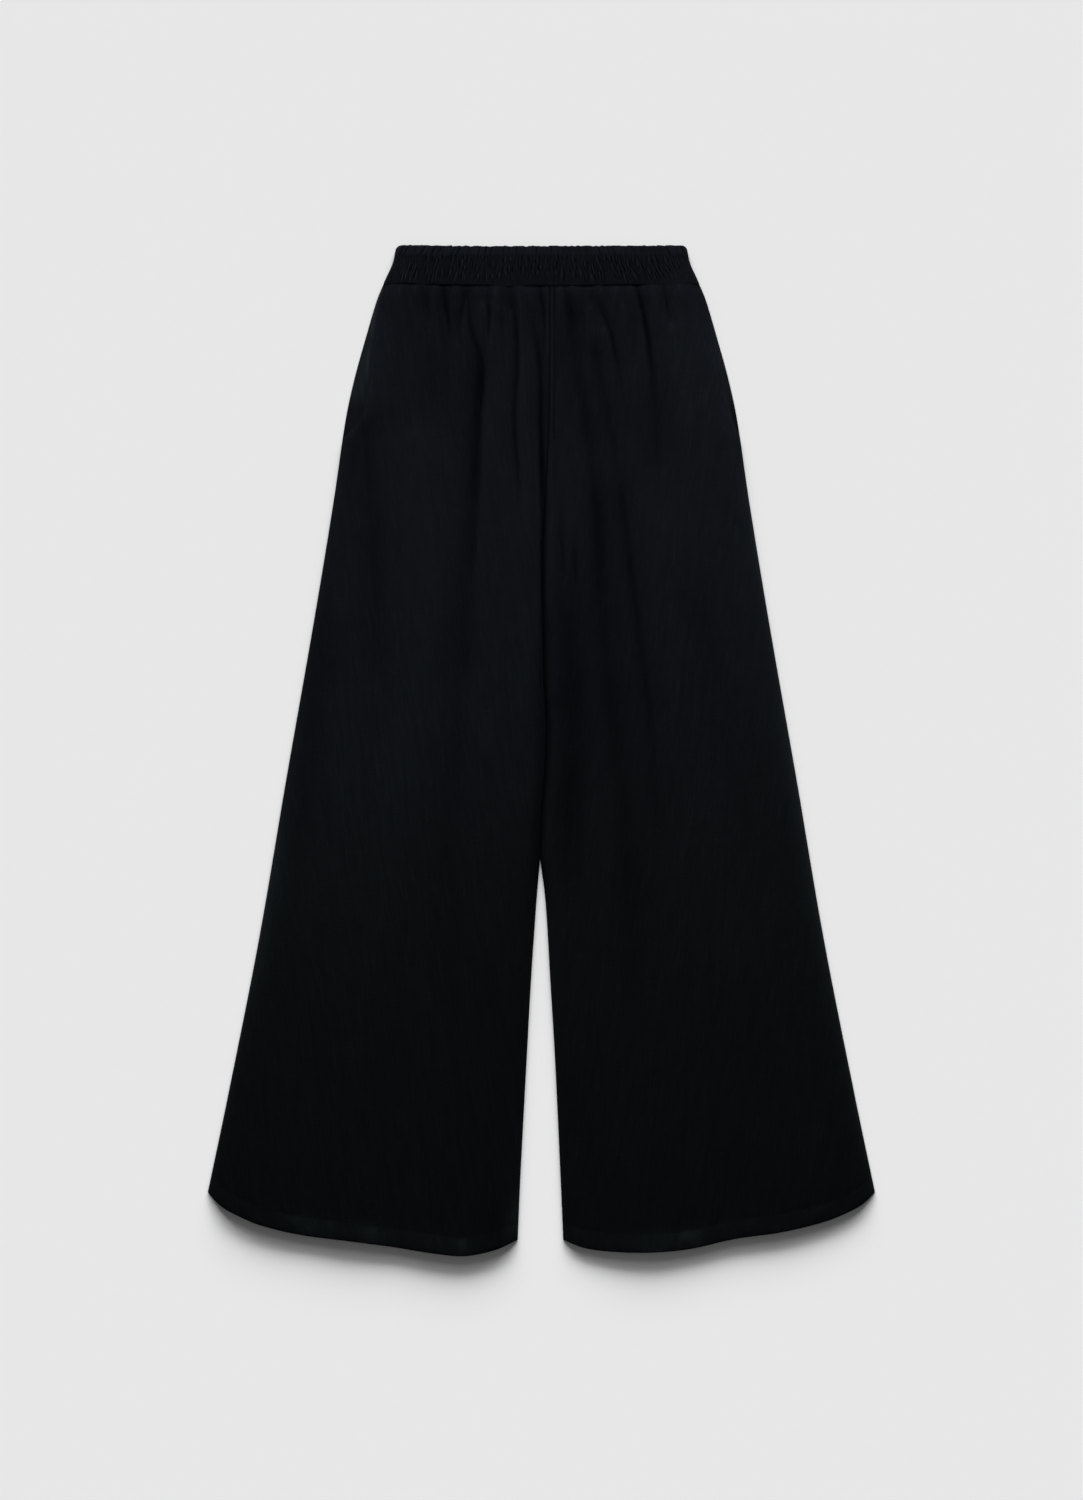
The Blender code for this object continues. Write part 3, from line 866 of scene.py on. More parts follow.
GATHERS = tuple(
    Gather(*numbers)
    for numbers in (
        (-139, -150, 38, 66, 1.1, 3.0), (-124, -126, 38, 62, 1.8, 2.6), (-105, -110, 38, 88, 1.8, 3.0),
        (-85.5, -84, 38, 80, 2.3, 2.5), (-75, -75.5, 60, 150, 1.6, 2.2), (-64, -62, 38, 62, 1.6, 2.2),
        (-60, -55, 62, 160, 1.7, 2.8), (-44, -50, 38, 140, 2.3, 2.7), (-29.5, -31, 70, 160, 1.4, 2.2),
        (-20.5, -15.5, 38, 170, 2.4, 2.8), (19, 20.5, 38, 150, 1.9, 2.5), (32, 44, 38, 90, 1.1, 2.8),
        (48, 48, 66, 180, 1.7, 3.0), (58, 64, 38, 62, 1.5, 2.4), (60, 67, 86, 160, 1.7, 2.6),
        (74, 78, 38, 68, 2.1, 3.2), (80, 85, 66, 140, 1.4, 2.2), (88, 90, 38, 66, 1.7, 2.6),
        (98, 100.5, 70, 160, 1.6, 2.2), (110, 115, 38, 100, 2.0, 2.8), (126, 132, 84, 170, 1.2, 3.4),
        (138, 150, 38, 72, 1.2, 3.2),
    )
)


# ---- pieces


class Piece:
    """A cut piece of the garment with its stitching, in the place of the node of the same name."""

    kind: ClassVar[str]
    slot: ClassVar[Slot]
    flat: ClassVar[tuple[float, float]]  # size of its cloth laid out flat, in metres
    area: ClassVar[float]  # and its area, in square metres
    held: ClassVar[Held] = Held.LAID
    side: Side

    @property
    def name(self) -> str:
        """The piece's name."""
        return f"{self.kind}_{self.side.label}"

    def cloth(self) -> Object:
        """Make the piece's cloth."""
        raise NotImplementedError

    def stitches(self) -> list[Object]:
        """Make the piece's stitching, if it has any."""
        return []

    def build(self, finish: Material, thread: Material) -> list[Object]:
        """Make the piece, dress it and report how fine it is.

        Args:
            finish: the cloth's material.
            thread: the stitching's.

        Returns:
            The cloth and the stitching.
        """
        cloth, stitches = self.cloth(), self.stitches()
        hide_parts(self.name)
        for made in (cloth, *stitches):
            made.data.materials.append(finish if made is cloth else thread)
            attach(made, BODY)
            triangles = sum(len(face.vertices) - 2 for face in made.data.polygons)
            LOG.info("%s: %d triangles", made.name, triangles)
        return [cloth, *stitches]


# ---- the legs

HEM_TURN = 20  # depth of the turned hems
HEM_MARGIN = 1.5  # from a hem's turned edge to its stitches
LEG_WIDTH = 300  # of a leg, for waves that fan out with it
ROLL_STEEPNESS = 2.6
TURN_DOWN = 2.6  # width of the strip of painted highlight where a leg's edge turns down to the pale floor


def hem_seam(side: Side) -> tuple[Array, Array]:
    """Share across the leg and drop of the stitching along its hem."""
    across = np.linspace(0.006, 0.994, 400)
    return across, OUTLINE.hem(side, across) - HEM_TURN + HEM_MARGIN


@dataclass(frozen=True)
class Spots:
    """Points of a front leg, with where they lie on it."""

    x: Array
    drop: Array
    across: Array  # share of the way from the side edge to the inner edge
    from_side: Array  # distance from the side edge
    from_inner: Array  # and from the inner edge
    under_band: Array  # distance below the waistband
    up: Array  # distance above the hem

    def gathered(self) -> Array:
        """Height of all the gathers together."""
        return sum(gather.at(self.x, self.drop) for gather in GATHERS)

    def seam_shadow(self, reach: float) -> Array:
        """How deep in the shadow of the waistband's seam they are, over a reach below it."""
        return OUTLINE.seam_shows.at(self.x) * fall(self.under_band, 0, reach)


@dataclass
class FrontLeg(Piece):
    """A front leg, lifted by its creases and gathers, with its turned hem and pocket mouth."""

    kind, slot, flat, area = "front_leg", Slot.LEGS, (0.35, 1.02), 0.29
    side: Side
    creases: tuple[Crease, ...]
    guides: tuple[str, ...]  # creases that the mesh's columns follow, from the side seam inwards
    runs: tuple[int, ...]  # columns of the mesh between two guides
    mouth_width: float  # how far the pocket's mouth lies back from the side seam at most
    hem_lift: Curve  # how far the hem stands off the ground, across the leg
    hem_highlight_across: Curve  # how strong the painted highlights on the hem's bulges are, across the leg
    seed: int
    rows: int = 282
    crowding: float = 1.35
    hem_rows: int = 16
    edge_steps: tuple[float, ...] = (0.7, 1.6, 3.2)  # columns beside an edge, with one between each
    topstitch: float = 5  # from a seam to the stitching beside it
    wall: float = 0.8
    hem_wall: float = 1.5
    lowest: float = 2
    side_roll: float = 22
    centre_roll: float = 18
    edge_radius: float = 2.2
    edge_fall: float = 0.55
    waver_height: float = 0.85
    crumple_height: float = 0.15
    patch_highlight: float = 0.85  # painted highlight on the turned hem's bulges
    hem_highlight: float = 0.06  # painted highlight along all the hem
    # height of the cloth down the middle of the leg, along its centre seam and along its side, and
    # how far the pocket's mouth gapes, as a share
    middle: Curve = Curve(
        (38, 50, 110, 200, 297, 480, 700, 880, 1009), (5.8, 8, 9.8, 10.2, 9.8, 8.6, 7, 6.2, 6)
    )
    at_centre: Curve = Curve((38, 110, 200, 250, 297, 1009), (5.6, 6.2, 5.4, 4, 2.6, 2.3))
    at_side: Curve = Curve((38, 60, 200, 240), (3.2, 2.85, 2.85, 2.3))
    mouth: Curve = Curve((60, 100, 130, 154, 166, 179, 194), (0, 0.3, 0.6, 0.93, 1, 0.7, 0))

    @property
    def _unevenness(self) -> Waver:
        """What makes the creases' depth uneven."""
        return Waver(self.seed + 3, 40, 46)

    def edges(self, drop: Array) -> tuple[Array, Array]:
        """X of the side edge, set back at the pocket's mouth, and of the inner edge."""
        outer = OUTLINE.half_width(drop) - self.mouth_width * self.mouth.at(drop)
        return self.side.value * outer, OUTLINE.inner_x(self.side, drop, front=True)

    def spots(self, x: Array, drop: Array) -> Spots:
        """Find where points lie on the leg.

        Args:
            x: X of each point.
            drop: drop of each point.

        Returns:
            The points.
        """
        outer, inner = self.edges(drop)
        across = (x - outer) / (inner - outer)
        up = OUTLINE.hem(self.side, across) - drop
        under_band = drop - OUTLINE.band_seam(x)
        return Spots(x, drop, across, np.abs(x - outer), np.abs(x - inner), under_band, up)

    def height(self, at: Spots) -> Array:
        """Height of the cloth's outer face.

        Args:
            at: the points.

        Returns:
            The height at each of them.
        """
        risen = 0.45 * fall(at.up, 0, 200) + 0.55 * fall(at.up, 0, 26)
        lift = self.middle.at(at.drop) + self.hem_lift.at(at.across) * risen - self.lowest
        lift += self.waver_height * self._waves(at)
        held = 0.4 + 0.6 * rise(at.under_band, 0, 34)
        for crease in self.creases:
            lift *= mix(1, crease.share(at.x, at.drop, self._unevenness), held)
        by_side, by_centre = (edge.at(at.drop) - self.lowest for edge in (self.at_side, self.at_centre))
        lift = mix(by_side, lift, self._roll(at.from_side / self.side_roll))
        lift = mix(by_centre, lift, self._roll(at.from_inner / self.centre_roll))
        crumple = self.crumple_height * Waver(self.seed + 7, 9, 15).at(at.x, at.drop)
        relief = at.gathered() + crumple + self._hem_relief(at) - 0.1 - 0.8 * at.seam_shadow(3)
        lift += rise(at.from_side, 0, 14) * rise(at.from_inner, 0, 9) * relief
        if self.side is Side.LEFT:
            lift -= 0.7 * self._topstitched(at) * bell(at.from_inner - self.topstitch, 0.9)
        fallen = rounding(np.minimum(at.from_side, at.from_inner), self.edge_radius)
        return self.lowest + np.maximum(lift, 0) - self.edge_fall * fallen

    def painted_shading(self, at: Spots) -> Array:
        """How much of its brightness painted shade takes from the cloth, less where painted highlights add
        to it.

        Args:
            at: the points.

        Returns:
            The share lost at each of them.
        """
        # painted highlights and painted shade along the leg's edges
        light = self._left_edges(at) if self.side is Side.LEFT else self._right_edges(at)
        # painted shade in the creases, and painted highlight where a crease's dim is below 0
        for crease in self.creases:
            light *= crease.light(at.x, at.drop, self._unevenness)
        # painted highlights on the turned hem's bulges and along all the hem
        patches = self.hem_highlight_across.at(at.across) * (0.8 * self._hem_bulges(at) + 0.28)
        light *= 1 + (self.hem_highlight + self.patch_highlight * patches) * fall(at.up, 14, 13)
        light *= 1 - 0.14 * bell(at.up - 20.5, 4) - 0.28 * bell(at.up, 4)  # painted shade along its stitches and at its edge
        between = 1 - clamp(at.gathered() / 1.1)
        light *= 1 - (0.10 + 0.14 * between) * fall(at.under_band, 0, 76)  # painted shade between the gathers, under the waistband
        # painted shadow under the waistband's seam
        light *= 1 - 0.5 * at.seam_shadow(2.4)
        # painted shade, darker towards the hems
        light *= 1 - 0.05 * rise(at.drop, 520, 300)
        # painted shadow along the pocket's mouth
        mouth = self.mouth.at(at.drop) * min(1, self.mouth_width / 12)
        return 1 - light * (1 - 0.32 * mouth * bell(at.from_side - 0.6, 2))

    def _left_edges(self, at: Spots) -> Array:
        """Paint highlights and shade onto the left leg along its side, then its centre seam.

        Args:
            at: the points.

        Returns:
            The share of its brightness that it keeps at each of them.
        """
        # painted highlight along the side edge, where it turns down to the pale floor
        glow = 0.9 * rise(at.drop, 200, 60) * np.exp(-at.from_side / TURN_DOWN)
        glow += 0.33 * rise(at.drop, 400, 120) * bell(at.from_side, 13)
        # painted shade where the side edge rolls under
        light = (1 + glow) * (1 - 0.16 * self._rolled(at) * bell(at.from_side - 3, 4))
        # painted shade near the inner edge, low down, and in the hollow beside the centre seam
        light *= 1 - 0.05 * rise(at.drop, 540, 90) * bell(at.from_inner, 60)
        light *= 1 - 0.5 * self._beside_seam(at) * bell(at.from_inner - 1.2, 3)
        # painted shade along the topstitching and the seam, and painted highlight between them
        lines = bell(at.from_inner - self.topstitch, 0.8) + bell(at.from_inner, 0.9)
        return light * (1 - self._topstitched(at) * (0.48 * lines - 0.12 * bell(at.from_inner - 2.7, 1)))

    def _right_edges(self, at: Spots) -> Array:
        """Paint highlights and shade onto the right leg along its side, its centre seam, its pocket and its
        hem.

        Args:
            at: the points.

        Returns:
            The share of its brightness that it keeps at each of them.
        """
        # painted highlight along the side edge, where it turns down to the pale floor
        glow = 0.7 * rise(at.drop, 540, 60) * np.exp(-at.from_side / TURN_DOWN)
        glow += 0.4 * rise(at.drop, 560, 50) * fall(at.drop, 700, 80) * bell(at.from_side, 13)
        # painted shade where the side edge rolls under
        light = (1 + glow) * (1 - 0.27 * self._rolled(at) * bell(at.from_side - 5, 12))
        # painted shade near the inner edge, low down, and in the hollow beside the centre seam
        light *= 1 - 0.14 * rise(at.drop, 540, 90) * bell(at.from_inner, 60)
        hollow = mix(2, 9, rise(at.drop, 330, 150))  # its width, more further down
        light *= 1 - 0.5 * self._beside_seam(at) * bell(at.from_inner, hollow)
        # painted highlight beside the centre seam, near the waistband
        light *= 1 + 0.35 * fall(at.drop, 80, 40) * bell(at.from_inner - 2.2, 1.5)
        # painted highlight along the side edge at the pocket
        rim = rise(at.drop, 42, 8) * fall(at.drop, 124, 18) * (1 - 0.8 * bell(at.drop - 94, 8))
        light *= 1 + 0.9 * rim * bell(at.from_side - 1.2, 1.6)
        # painted highlights on the hem and above it, beside the inner edge
        light *= 1 + 1.4 * bell(at.up - 22, 22) * bell(at.from_inner - 3, 8.5)
        return light * (1 + 0.3 * bell(at.up - 85, 45) * bell(at.from_inner, 16))

    @staticmethod
    def _rolled(at: Spots) -> Array:
        """Where the side edge rolls under, at the thigh."""
        return rise(at.drop, 165, 30) * fall(at.drop, 420, 120)

    @staticmethod
    def _beside_seam(at: Spots) -> Array:
        """Where the centre seam lies in a hollow."""
        return rise(at.drop, 225, 80) * fall(at.drop, 580, 140)

    @staticmethod
    def _topstitched(at: Spots) -> Array:
        """Where the centre seam is topstitched, as a share that fades at its foot."""
        return fall(at.drop, 190, 6)

    @staticmethod
    def _roll(t: Array) -> Array:
        """The rise of pillowed cloth from its edge, steep at first."""
        return 1 - (1 - clamp(t)) ** ROLL_STEEPNESS

    def _waves(self, at: Spots) -> Array:
        """Soft waves that fan out with the leg, shorter and higher near the waist.

        Args:
            at: the points.

        Returns:
            The waves' height at each of them.
        """
        broad = Waver(self.seed, 46, 190).at(at.across * LEG_WIDTH, at.drop)
        narrow = Waver(self.seed + 1, 21, 60).at(at.across * LEG_WIDTH, at.drop)
        return broad + (0.25 + 0.6 * fall(at.drop, 80, 160)) * narrow

    def _hem_bulges(self, at: Spots) -> Array:
        """How far the turned hem's bulges stand out."""
        return np.clip(Waver(self.seed + 12, 13, 12).at(at.x, at.up) - 0.1, 0, None)

    def _hem_relief(self, at: Spots) -> Array:
        """The turned hem: a thicker band, puckered and bulging between its edge and its stitches.

        Args:
            at: the points.

        Returns:
            How far it stands out at each of them.
        """
        pucker = Waver(self.seed + 11, 6.5).at(at.x)
        swell = bell(at.up - 0.5 * HEM_TURN, 0.42 * HEM_TURN) * (0.6 * self._hem_bulges(at) + 0.3 * pucker)
        groove = 0.25 * bell(at.up - HEM_TURN + HEM_MARGIN, 1.3) * (1 + 0.8 * pucker)
        return 0.3 * fall(at.up, HEM_TURN - 3, 7) + swell - groove

    def columns(self, drop: float) -> Array:
        """Place the columns of the mesh.

        Args:
            drop: the drop to place them at.

        Returns:
            X of every column there.
        """
        outer, inner = (float(edge) for edge in self.edges(np.array(drop)))
        steps = self.side.value * np.array(self.edge_steps)
        by_name = {crease.name: crease for crease in self.creases}
        guides = [float(by_name[name].x(drop)) for name in self.guides]
        lines = [outer, *(outer - steps), *guides, *(inner + steps[::-1]), inner]
        beside = [2] * len(steps)
        ends = np.cumsum([0, *beside, *self.runs, *beside])
        return np.interp(np.arange(ends[-1] + 1), ends, lines)

    def grid(self) -> tuple[Array, Array]:
        """Place the points of the mesh.

        Returns:
            X and drop of every point, rows by columns.
        """
        low = self.columns(OUTLINE.length)
        hem = OUTLINE.hem(self.side, (low - low[0]) / (low[-1] - low[0]))
        top = OUTLINE.band_seam(self.columns(OUTLINE.band_depth)) + OUTLINE.seam
        body = mix(top, hem - HEM_TURN, down(self.rows, self.crowding))
        drop = np.concatenate([body, hem - HEM_TURN * (1 - down(self.hem_rows)[1:])])
        levels = np.linspace(OUTLINE.band_depth, OUTLINE.length, 400)
        lines = np.stack([self.columns(level) for level in levels], axis=1)
        x = [np.interp(drops, levels, line) for drops, line in zip(drop.T, lines)]
        return np.stack(x, axis=1), drop

    def cloth(self) -> Object:
        """Make the leg's cloth.

        Returns:
            The new object.
        """
        x, drop = self.grid()
        at = self.spots(x, drop)
        top = self.height(at)
        under = top - mix(self.wall, self.hem_wall, fall(at.up, HEM_TURN, 2))
        return Shell().build(f"{self.name}_cloth", x, drop, top, under, self.painted_shading(at))

    def on_cloth(self, x: Array, drop: Array) -> Array:
        """Points on the outer face, above an X and a drop."""
        return joined(x, OUTLINE.y(drop), self.height(self.spots(x, drop)))

    def stitches(self) -> list[Object]:
        """Make the stitching of the hem and the pocket's mouth, and the centre seam's if it is here.

        Returns:
            The stitching, as one object.
        """
        across, drop = hem_seam(self.side)
        lines = [self.on_cloth(mix(*self.edges(drop), across), drop)]
        drop = np.linspace(45, 192, 160)
        lines.append(self.on_cloth(self.edges(drop)[0] - self.side.value * self.topstitch, drop))
        if self.side is Side.LEFT:
            lines.append(self._centre_line())
        return [Stitching().build(f"{self.name}_stitches", lines)]

    def _centre_line(self) -> Array:
        """Trace the topstitching beside the centre seam, which hooks back to the seam at its foot.

        Returns:
            The points of its line.
        """
        drop, foot = np.linspace(44, 188, 160), np.linspace(0, 1, 24)
        seam = self.edges(drop)[1]
        hook = mix(seam[-1] + self.topstitch, seam[-1] + 0.6, ease(foot))
        hook_drop = drop[-1] + 6 * np.sin(foot * math.pi / 2)
        return self.on_cloth(np.append(seam + self.topstitch, hook), np.append(drop, hook_drop))


RIGHT_LEG = FrontLeg(
    side=Side.RIGHT,
    creases=RIGHT_CREASES,
    guides=("outer_dart", "long_crease", "inner_crease", "centre_crease"),
    runs=(34, 34, 30, 16, 18),
    mouth_width=16,
    hem_lift=Curve((0, 0.03, 0.09, 0.2, 0.45, 0.8, 0.92, 1), (0, 0.6, 2.6, 3.4, 2.8, 3.2, 1.6, 0)),
    hem_highlight_across=Curve(
        (0, 0.25, 0.32, 0.39, 0.5, 0.58, 0.66, 0.76, 0.82, 0.9, 1),
        (0, 0, 1.8, 0.5, 1.1, 1, 0.3, 1.1, 1, 0, 0),
    ),
    seed=101,
)
LEFT_LEG = FrontLeg(
    side=Side.LEFT,
    creases=LEFT_CREASES,
    guides=("lower_sweep", "sharp_crease", "mid_crease", "long_crease"),
    runs=(30, 24, 38, 20, 20),
    mouth_width=5,
    hem_lift=Curve((0, 0.06, 0.16, 0.3, 0.5, 0.72, 0.9, 1), (0, 0.8, 1.6, 1.4, 2, 2.8, 1.6, 0)),
    hem_highlight_across=Curve((0, 0.2, 0.5, 0.6, 0.68, 0.76, 0.86, 0.94, 1), (0, 0.3, 0.4, 1.8, 1.9, 1.5, 0.3, 0.6, 0)),
    seed=201,
)


@dataclass
class BackLeg(Piece):
    """A back leg, flat on the ground, with shallow creases pressed up into its underside."""

    kind, slot, flat, area = "back_leg", Slot.LEGS, (0.36, 1.03), 0.30
    side: Side
    seed: int
    columns: int = 96
    rows: int = 170
    crowding: float = 1.2
    wall: float = 0.8
    trough: float = 0.5
    gathers: int = 31

    def x_at(self, across: Array, drop: Array) -> Array:
        """X at a share of the way from the side seam to the inner seam."""
        outer = self.side.value * OUTLINE.half_width(drop)
        return mix(outer, OUTLINE.inner_x(self.side, drop, front=False), across)

    def underside(self, across: Array, drop: Array) -> Array:
        """Height of the cloth's lower face: nothing where it rests, and a little in its creases.

        Args:
            across: share of the way from the side seam.
            drop: drop of each point.

        Returns:
            The height at each point.
        """
        waves = Waver(self.seed, 16, 230).at(across * LEG_WIDTH, drop)
        fine = Waver(self.seed + 1, 7, 60).at(across * LEG_WIDTH, drop)
        crease = clamp(1 - np.abs(waves) / 0.16) ** 2
        gather = np.sin(across * self.gathers * 2 * math.pi) * 0.5 + 0.2 + 0.5 * fine
        gather = clamp(gather) * fall(drop, OUTLINE.band_depth, 46)
        groove = bell(OUTLINE.hem(self.side, across) - drop - HEM_TURN + HEM_MARGIN, 1.4)
        deep = crease * (0.35 + 0.65 * fall(drop, OUTLINE.band_depth, 260)) + gather + 0.5 * groove
        return self.trough * rise(np.minimum(across, 1 - across), 0, 0.03) * clamp(deep)

    def cloth(self) -> Object:
        """Make the leg's cloth.

        Returns:
            The new object.
        """
        across = np.linspace(0, 1, self.columns + 1)
        top = OUTLINE.band_seam(mix(OUTLINE.waist, 0, across)) + OUTLINE.seam
        drop = mix(top, OUTLINE.hem(self.side, across), down(self.rows, self.crowding))
        across = np.broadcast_to(across, drop.shape)
        under = self.underside(across, drop)
        upper = self.wall + 0.2 * under
        return Shell().build(f"{self.name}_cloth", self.x_at(across, drop), drop, upper, under)

    def stitches(self) -> list[Object]:
        """Make the hem's stitching, on the underside.

        Returns:
            The stitching, as one object.
        """
        across, drop = hem_seam(self.side)
        line = joined(self.x_at(across, drop), OUTLINE.y(drop), self.underside(across, drop))
        return [UNDER_STITCHING.build(f"{self.name}_stitches", [line])]


@dataclass
class PocketFacing(Piece):
    """The slip of cloth that shows in a pocket's mouth."""

    kind, slot, flat, area = "pocket_facing", Slot.FACINGS, (0.036, 0.160), 0.0056
    side: Side
    width: float = 36
    end: float = 198
    columns: int = 24
    rows: int = 90
    low: float = 0.86
    wall: float = 0.42
    slope: float = 0.06

    def cloth(self) -> Object:
        """Make the facing's cloth.

        Returns:
            The new object.
        """
        inwards = self.width * (np.arange(self.columns + 1) / self.columns) ** 1.4
        top = OUTLINE.band_seam(OUTLINE.waist - inwards) + OUTLINE.seam
        drop = mix(top, self.end, down(self.rows))
        x = self.side.value * (OUTLINE.half_width(drop) - inwards)
        under = self.low + self.slope * np.minimum(inwards, 9)
        ripple = 0.06 * Waver(31, 7, 18).at(x, drop)
        upper = under + self.wall + ripple - 0.12 * rounding(inwards, 1.5)
        # painted shade on the facing's lower end, where the pocket's mouth narrows
        painted_shading = 0.5 * rise(drop, 142, 24)
        return Shell(bulge=0.12).build(f"{self.name}_cloth", x, drop, upper, under, painted_shading)


# ---- the waistband


@dataclass
class Waistband(Piece):
    """One half of the elastic casing, puckered between its rows of stitching."""

    slot, flat, area, held = Slot.WAISTBAND, (0.42, 0.04), 0.0168, Held.GATHERED
    front: bool  # whether it is the front, whose outer face looks up
    seed: int
    stitch_rows: tuple[float, ...] = (11.5, 25)  # their drops
    pitch: float = 2.5  # of their stitches
    pucker_levels: tuple[float, ...] = (14, 22, 30.5)  # drops round which the rows of puckers lie
    puckers: int = 92  # in each row
    top_folds: int = 34  # short folds that part the bulges along the top
    columns: int = 640
    rows: int = 48
    low: float = 2.45
    wall: float = 2.4
    pucker: float = 2.3
    back_pucker: float = 0.85
    groove: float = 0.25
    edge_radius: float = 2.4
    edge_fall: float = 1.15
    scallop: float = 0.65

    @property
    def name(self) -> str:
        """The casing's name."""
        return "waistband_front" if self.front else "waistband_back"

    def relief(self, x: Array, drop: Array) -> Array:
        """Share of a pucker's greatest height.

        Args:
            x: X of each point.
            drop: drop of each point.

        Returns:
            The share at each point.
        """
        draw = np.random.default_rng(self.seed)
        half = float(OUTLINE.half_width(20.0))
        evened = x * half / OUTLINE.side.at(drop)
        low, cut = np.zeros_like(x), np.zeros_like(x)
        for level in self.pucker_levels:
            for middle in self._scattered(draw, self.puckers, half):
                at = level + draw.uniform(-3.5, 3.5)
                lean = draw.uniform(-0.10, 0.10) + mix(-0.2, 0.1, middle > 0) * middle / half
                away = evened - middle - lean * (drop - at)
                tall = draw.uniform(0.2, 1.0) ** 1.3
                tall *= 1 - 0.7 * float(rise(abs(middle) / half, 0.84, 0.12))
                tall = tall * bell(drop - at, draw.uniform(2.8, 6.4))
                low = np.maximum(low, tall * bell(away, draw.uniform(0.6, 0.95)))
                cut = np.maximum(cut, tall * bell(away - math.copysign(1.5, middle), 0.8))
        top = 0.42 + 0.32 * Waver(self.seed + 20, 15).at(evened)
        for middle in self._scattered(draw, self.top_folds, half):
            lean = draw.uniform(-0.15, 0.15) + 0.4 * middle / half
            away = evened - middle - lean * (drop - 5)
            top -= draw.uniform(0.15, 0.6) * bell(away, draw.uniform(0.7, 1.3))
        low = clamp(0.28 + 0.72 * low - 0.3 * cut)
        return mix(clamp(top), low, rise(drop, self.stitch_rows[0] - 6, 8))

    @staticmethod
    def _scattered(draw: np.random.Generator, count: int, half: float) -> Array:
        """Uneven places across the casing, from one side to the other."""
        return mix(-half, half, (np.arange(count) + draw.uniform(0.1, 0.9, count)) / count)

    def grid(self) -> tuple[Array, Array]:
        """Place the points of the mesh.

        Returns:
            Share across and drop of every point, rows by columns.
        """
        spread = np.linspace(-1, 1, self.columns + 1)
        across = spread + 0.02 * np.sin(math.pi * spread)
        pull = self.scallop * Waver(self.seed + 5, 3.2).at(across * LEG_WIDTH / 2)
        top = OUTLINE.top_dip * (1 - across**2) + pull
        bottom = OUTLINE.band_seam(across * OUTLINE.waist)
        drop = mix(top, bottom, down(self.rows))
        return np.broadcast_to(across, drop.shape), drop

    def faces(self, across: Array, x: Array, drop: Array) -> tuple[Array, Array]:
        """Heights of the casing's upper and lower face.

        Args:
            across: share of the way to the side seam, from -1 to 1.
            x: X of each point.
            drop: drop of each point.

        Returns:
            The two heights at each point.
        """
        from_side, from_seam = 1 - np.abs(across), OUTLINE.band_seam(x) - drop
        calm = rise(from_side, 0, 0.02)
        relief = self.relief(x, drop) * calm
        uneven = 0.6 + 0.6 * Waver(self.seed + 9, 5).at(x)
        rows = zip(self.stitch_rows, (1, 0.5))
        groove = uneven * sum(share * bell(drop - row, 0.9) for row, share in rows)
        inside = np.minimum(drop, from_side * 150)
        low_fall = rounding(from_seam, self.edge_radius) * mix(0.15, 1, OUTLINE.seam_shows.at(x))
        fallen = np.maximum(rounding(inside, self.edge_radius), low_fall)
        if self.front:
            upper = self.low + self.wall + self.pucker * relief - self.groove * groove
            upper -= 0.5 * fall(drop, 0, self.stitch_rows[0])
            return upper - self.edge_fall * fallen, np.full_like(x, self.low)
        inside = np.minimum(inside, from_seam)
        lower = self.back_pucker * (1 - relief) * calm * rise(inside, 0, 2)
        lower = np.clip(lower - 0.2, 0, None) + 0.35 * groove * calm
        return self.low - 0.15 - 0.3 * fallen, np.minimum(lower, 1.1)

    def painted_shading(self, x: Array, drop: Array) -> Array:
        """How much of its brightness painted shade takes from the casing: most between its puckers.

        Args:
            x: X of each point.
            drop: drop of each point.

        Returns:
            The share lost at each of them.
        """
        relief = self.relief(x, drop)
        # painted shade between the puckers and painted highlight on their tops, and likewise along the top
        low = 0.24 + 1.3 * clamp(0.28 - relief) - 1.5 * clamp(relief - 0.34)
        high = 0.42 * (1 - clamp(1.7 * relief)) - 0.24
        # lighter towards its side ends, more on the left
        paleness = mix(0.12, 0.28, x > 0) * rise(np.abs(x), 116, 18) * rise(drop, 8, 8)
        # painted shadow along its seam where the seam shows; painted highlight elsewhere, evening out its
        # edge's own shading
        edge = mix(-0.8, 0.5, OUTLINE.seam_shows.at(x)) * fall(OUTLINE.band_seam(x) - drop, 0, 1.8)
        return mix(low, high, fall(drop, 6, 6)) - paleness + edge

    def cloth(self) -> Object:
        """Make the casing.

        Returns:
            The new object.
        """
        across, drop = self.grid()
        x = across * OUTLINE.half_width(drop)
        upper, lower = self.faces(across, x, drop)
        return Shell(bulge=0.5).build(f"{self.name}_cloth", x, drop, upper, lower, self.painted_shading(x, drop))

    def stitches(self) -> list[Object]:
        """Make the rows of stitching through the elastic.

        Returns:
            The stitching, as one object.
        """
        across, lines = np.linspace(-0.985, 0.985, 1500), []
        for row in self.stitch_rows:
            drop = np.full_like(across, row)
            x = across * OUTLINE.half_width(drop)
            lines.append(joined(x, OUTLINE.y(drop), self.faces(across, x, drop)[not self.front]))
        style = replace(Stitching() if self.front else UNDER_STITCHING, pitch=self.pitch)
        return [style.build(f"{self.name}_stitches", lines)]


# ---- floor, light and camera


def lamp(name: str, data: bpy.types.Light, place: Vector, away: Vector) -> Object:
    """Put a light in the scene, turned so that it stands away from what it lights.

    Args:
        name: its name.
        data: the light itself.
        place: where it stands.
        away: the way from what it lights to it.

    Returns:
        The new object.
    """
    made = bpy.data.objects.new(name, data)
    made.location = place
    made.rotation_euler = away.to_track_quat("Z", "Y").to_euler()
    bpy.context.scene.collection.objects.link(made)
    return made


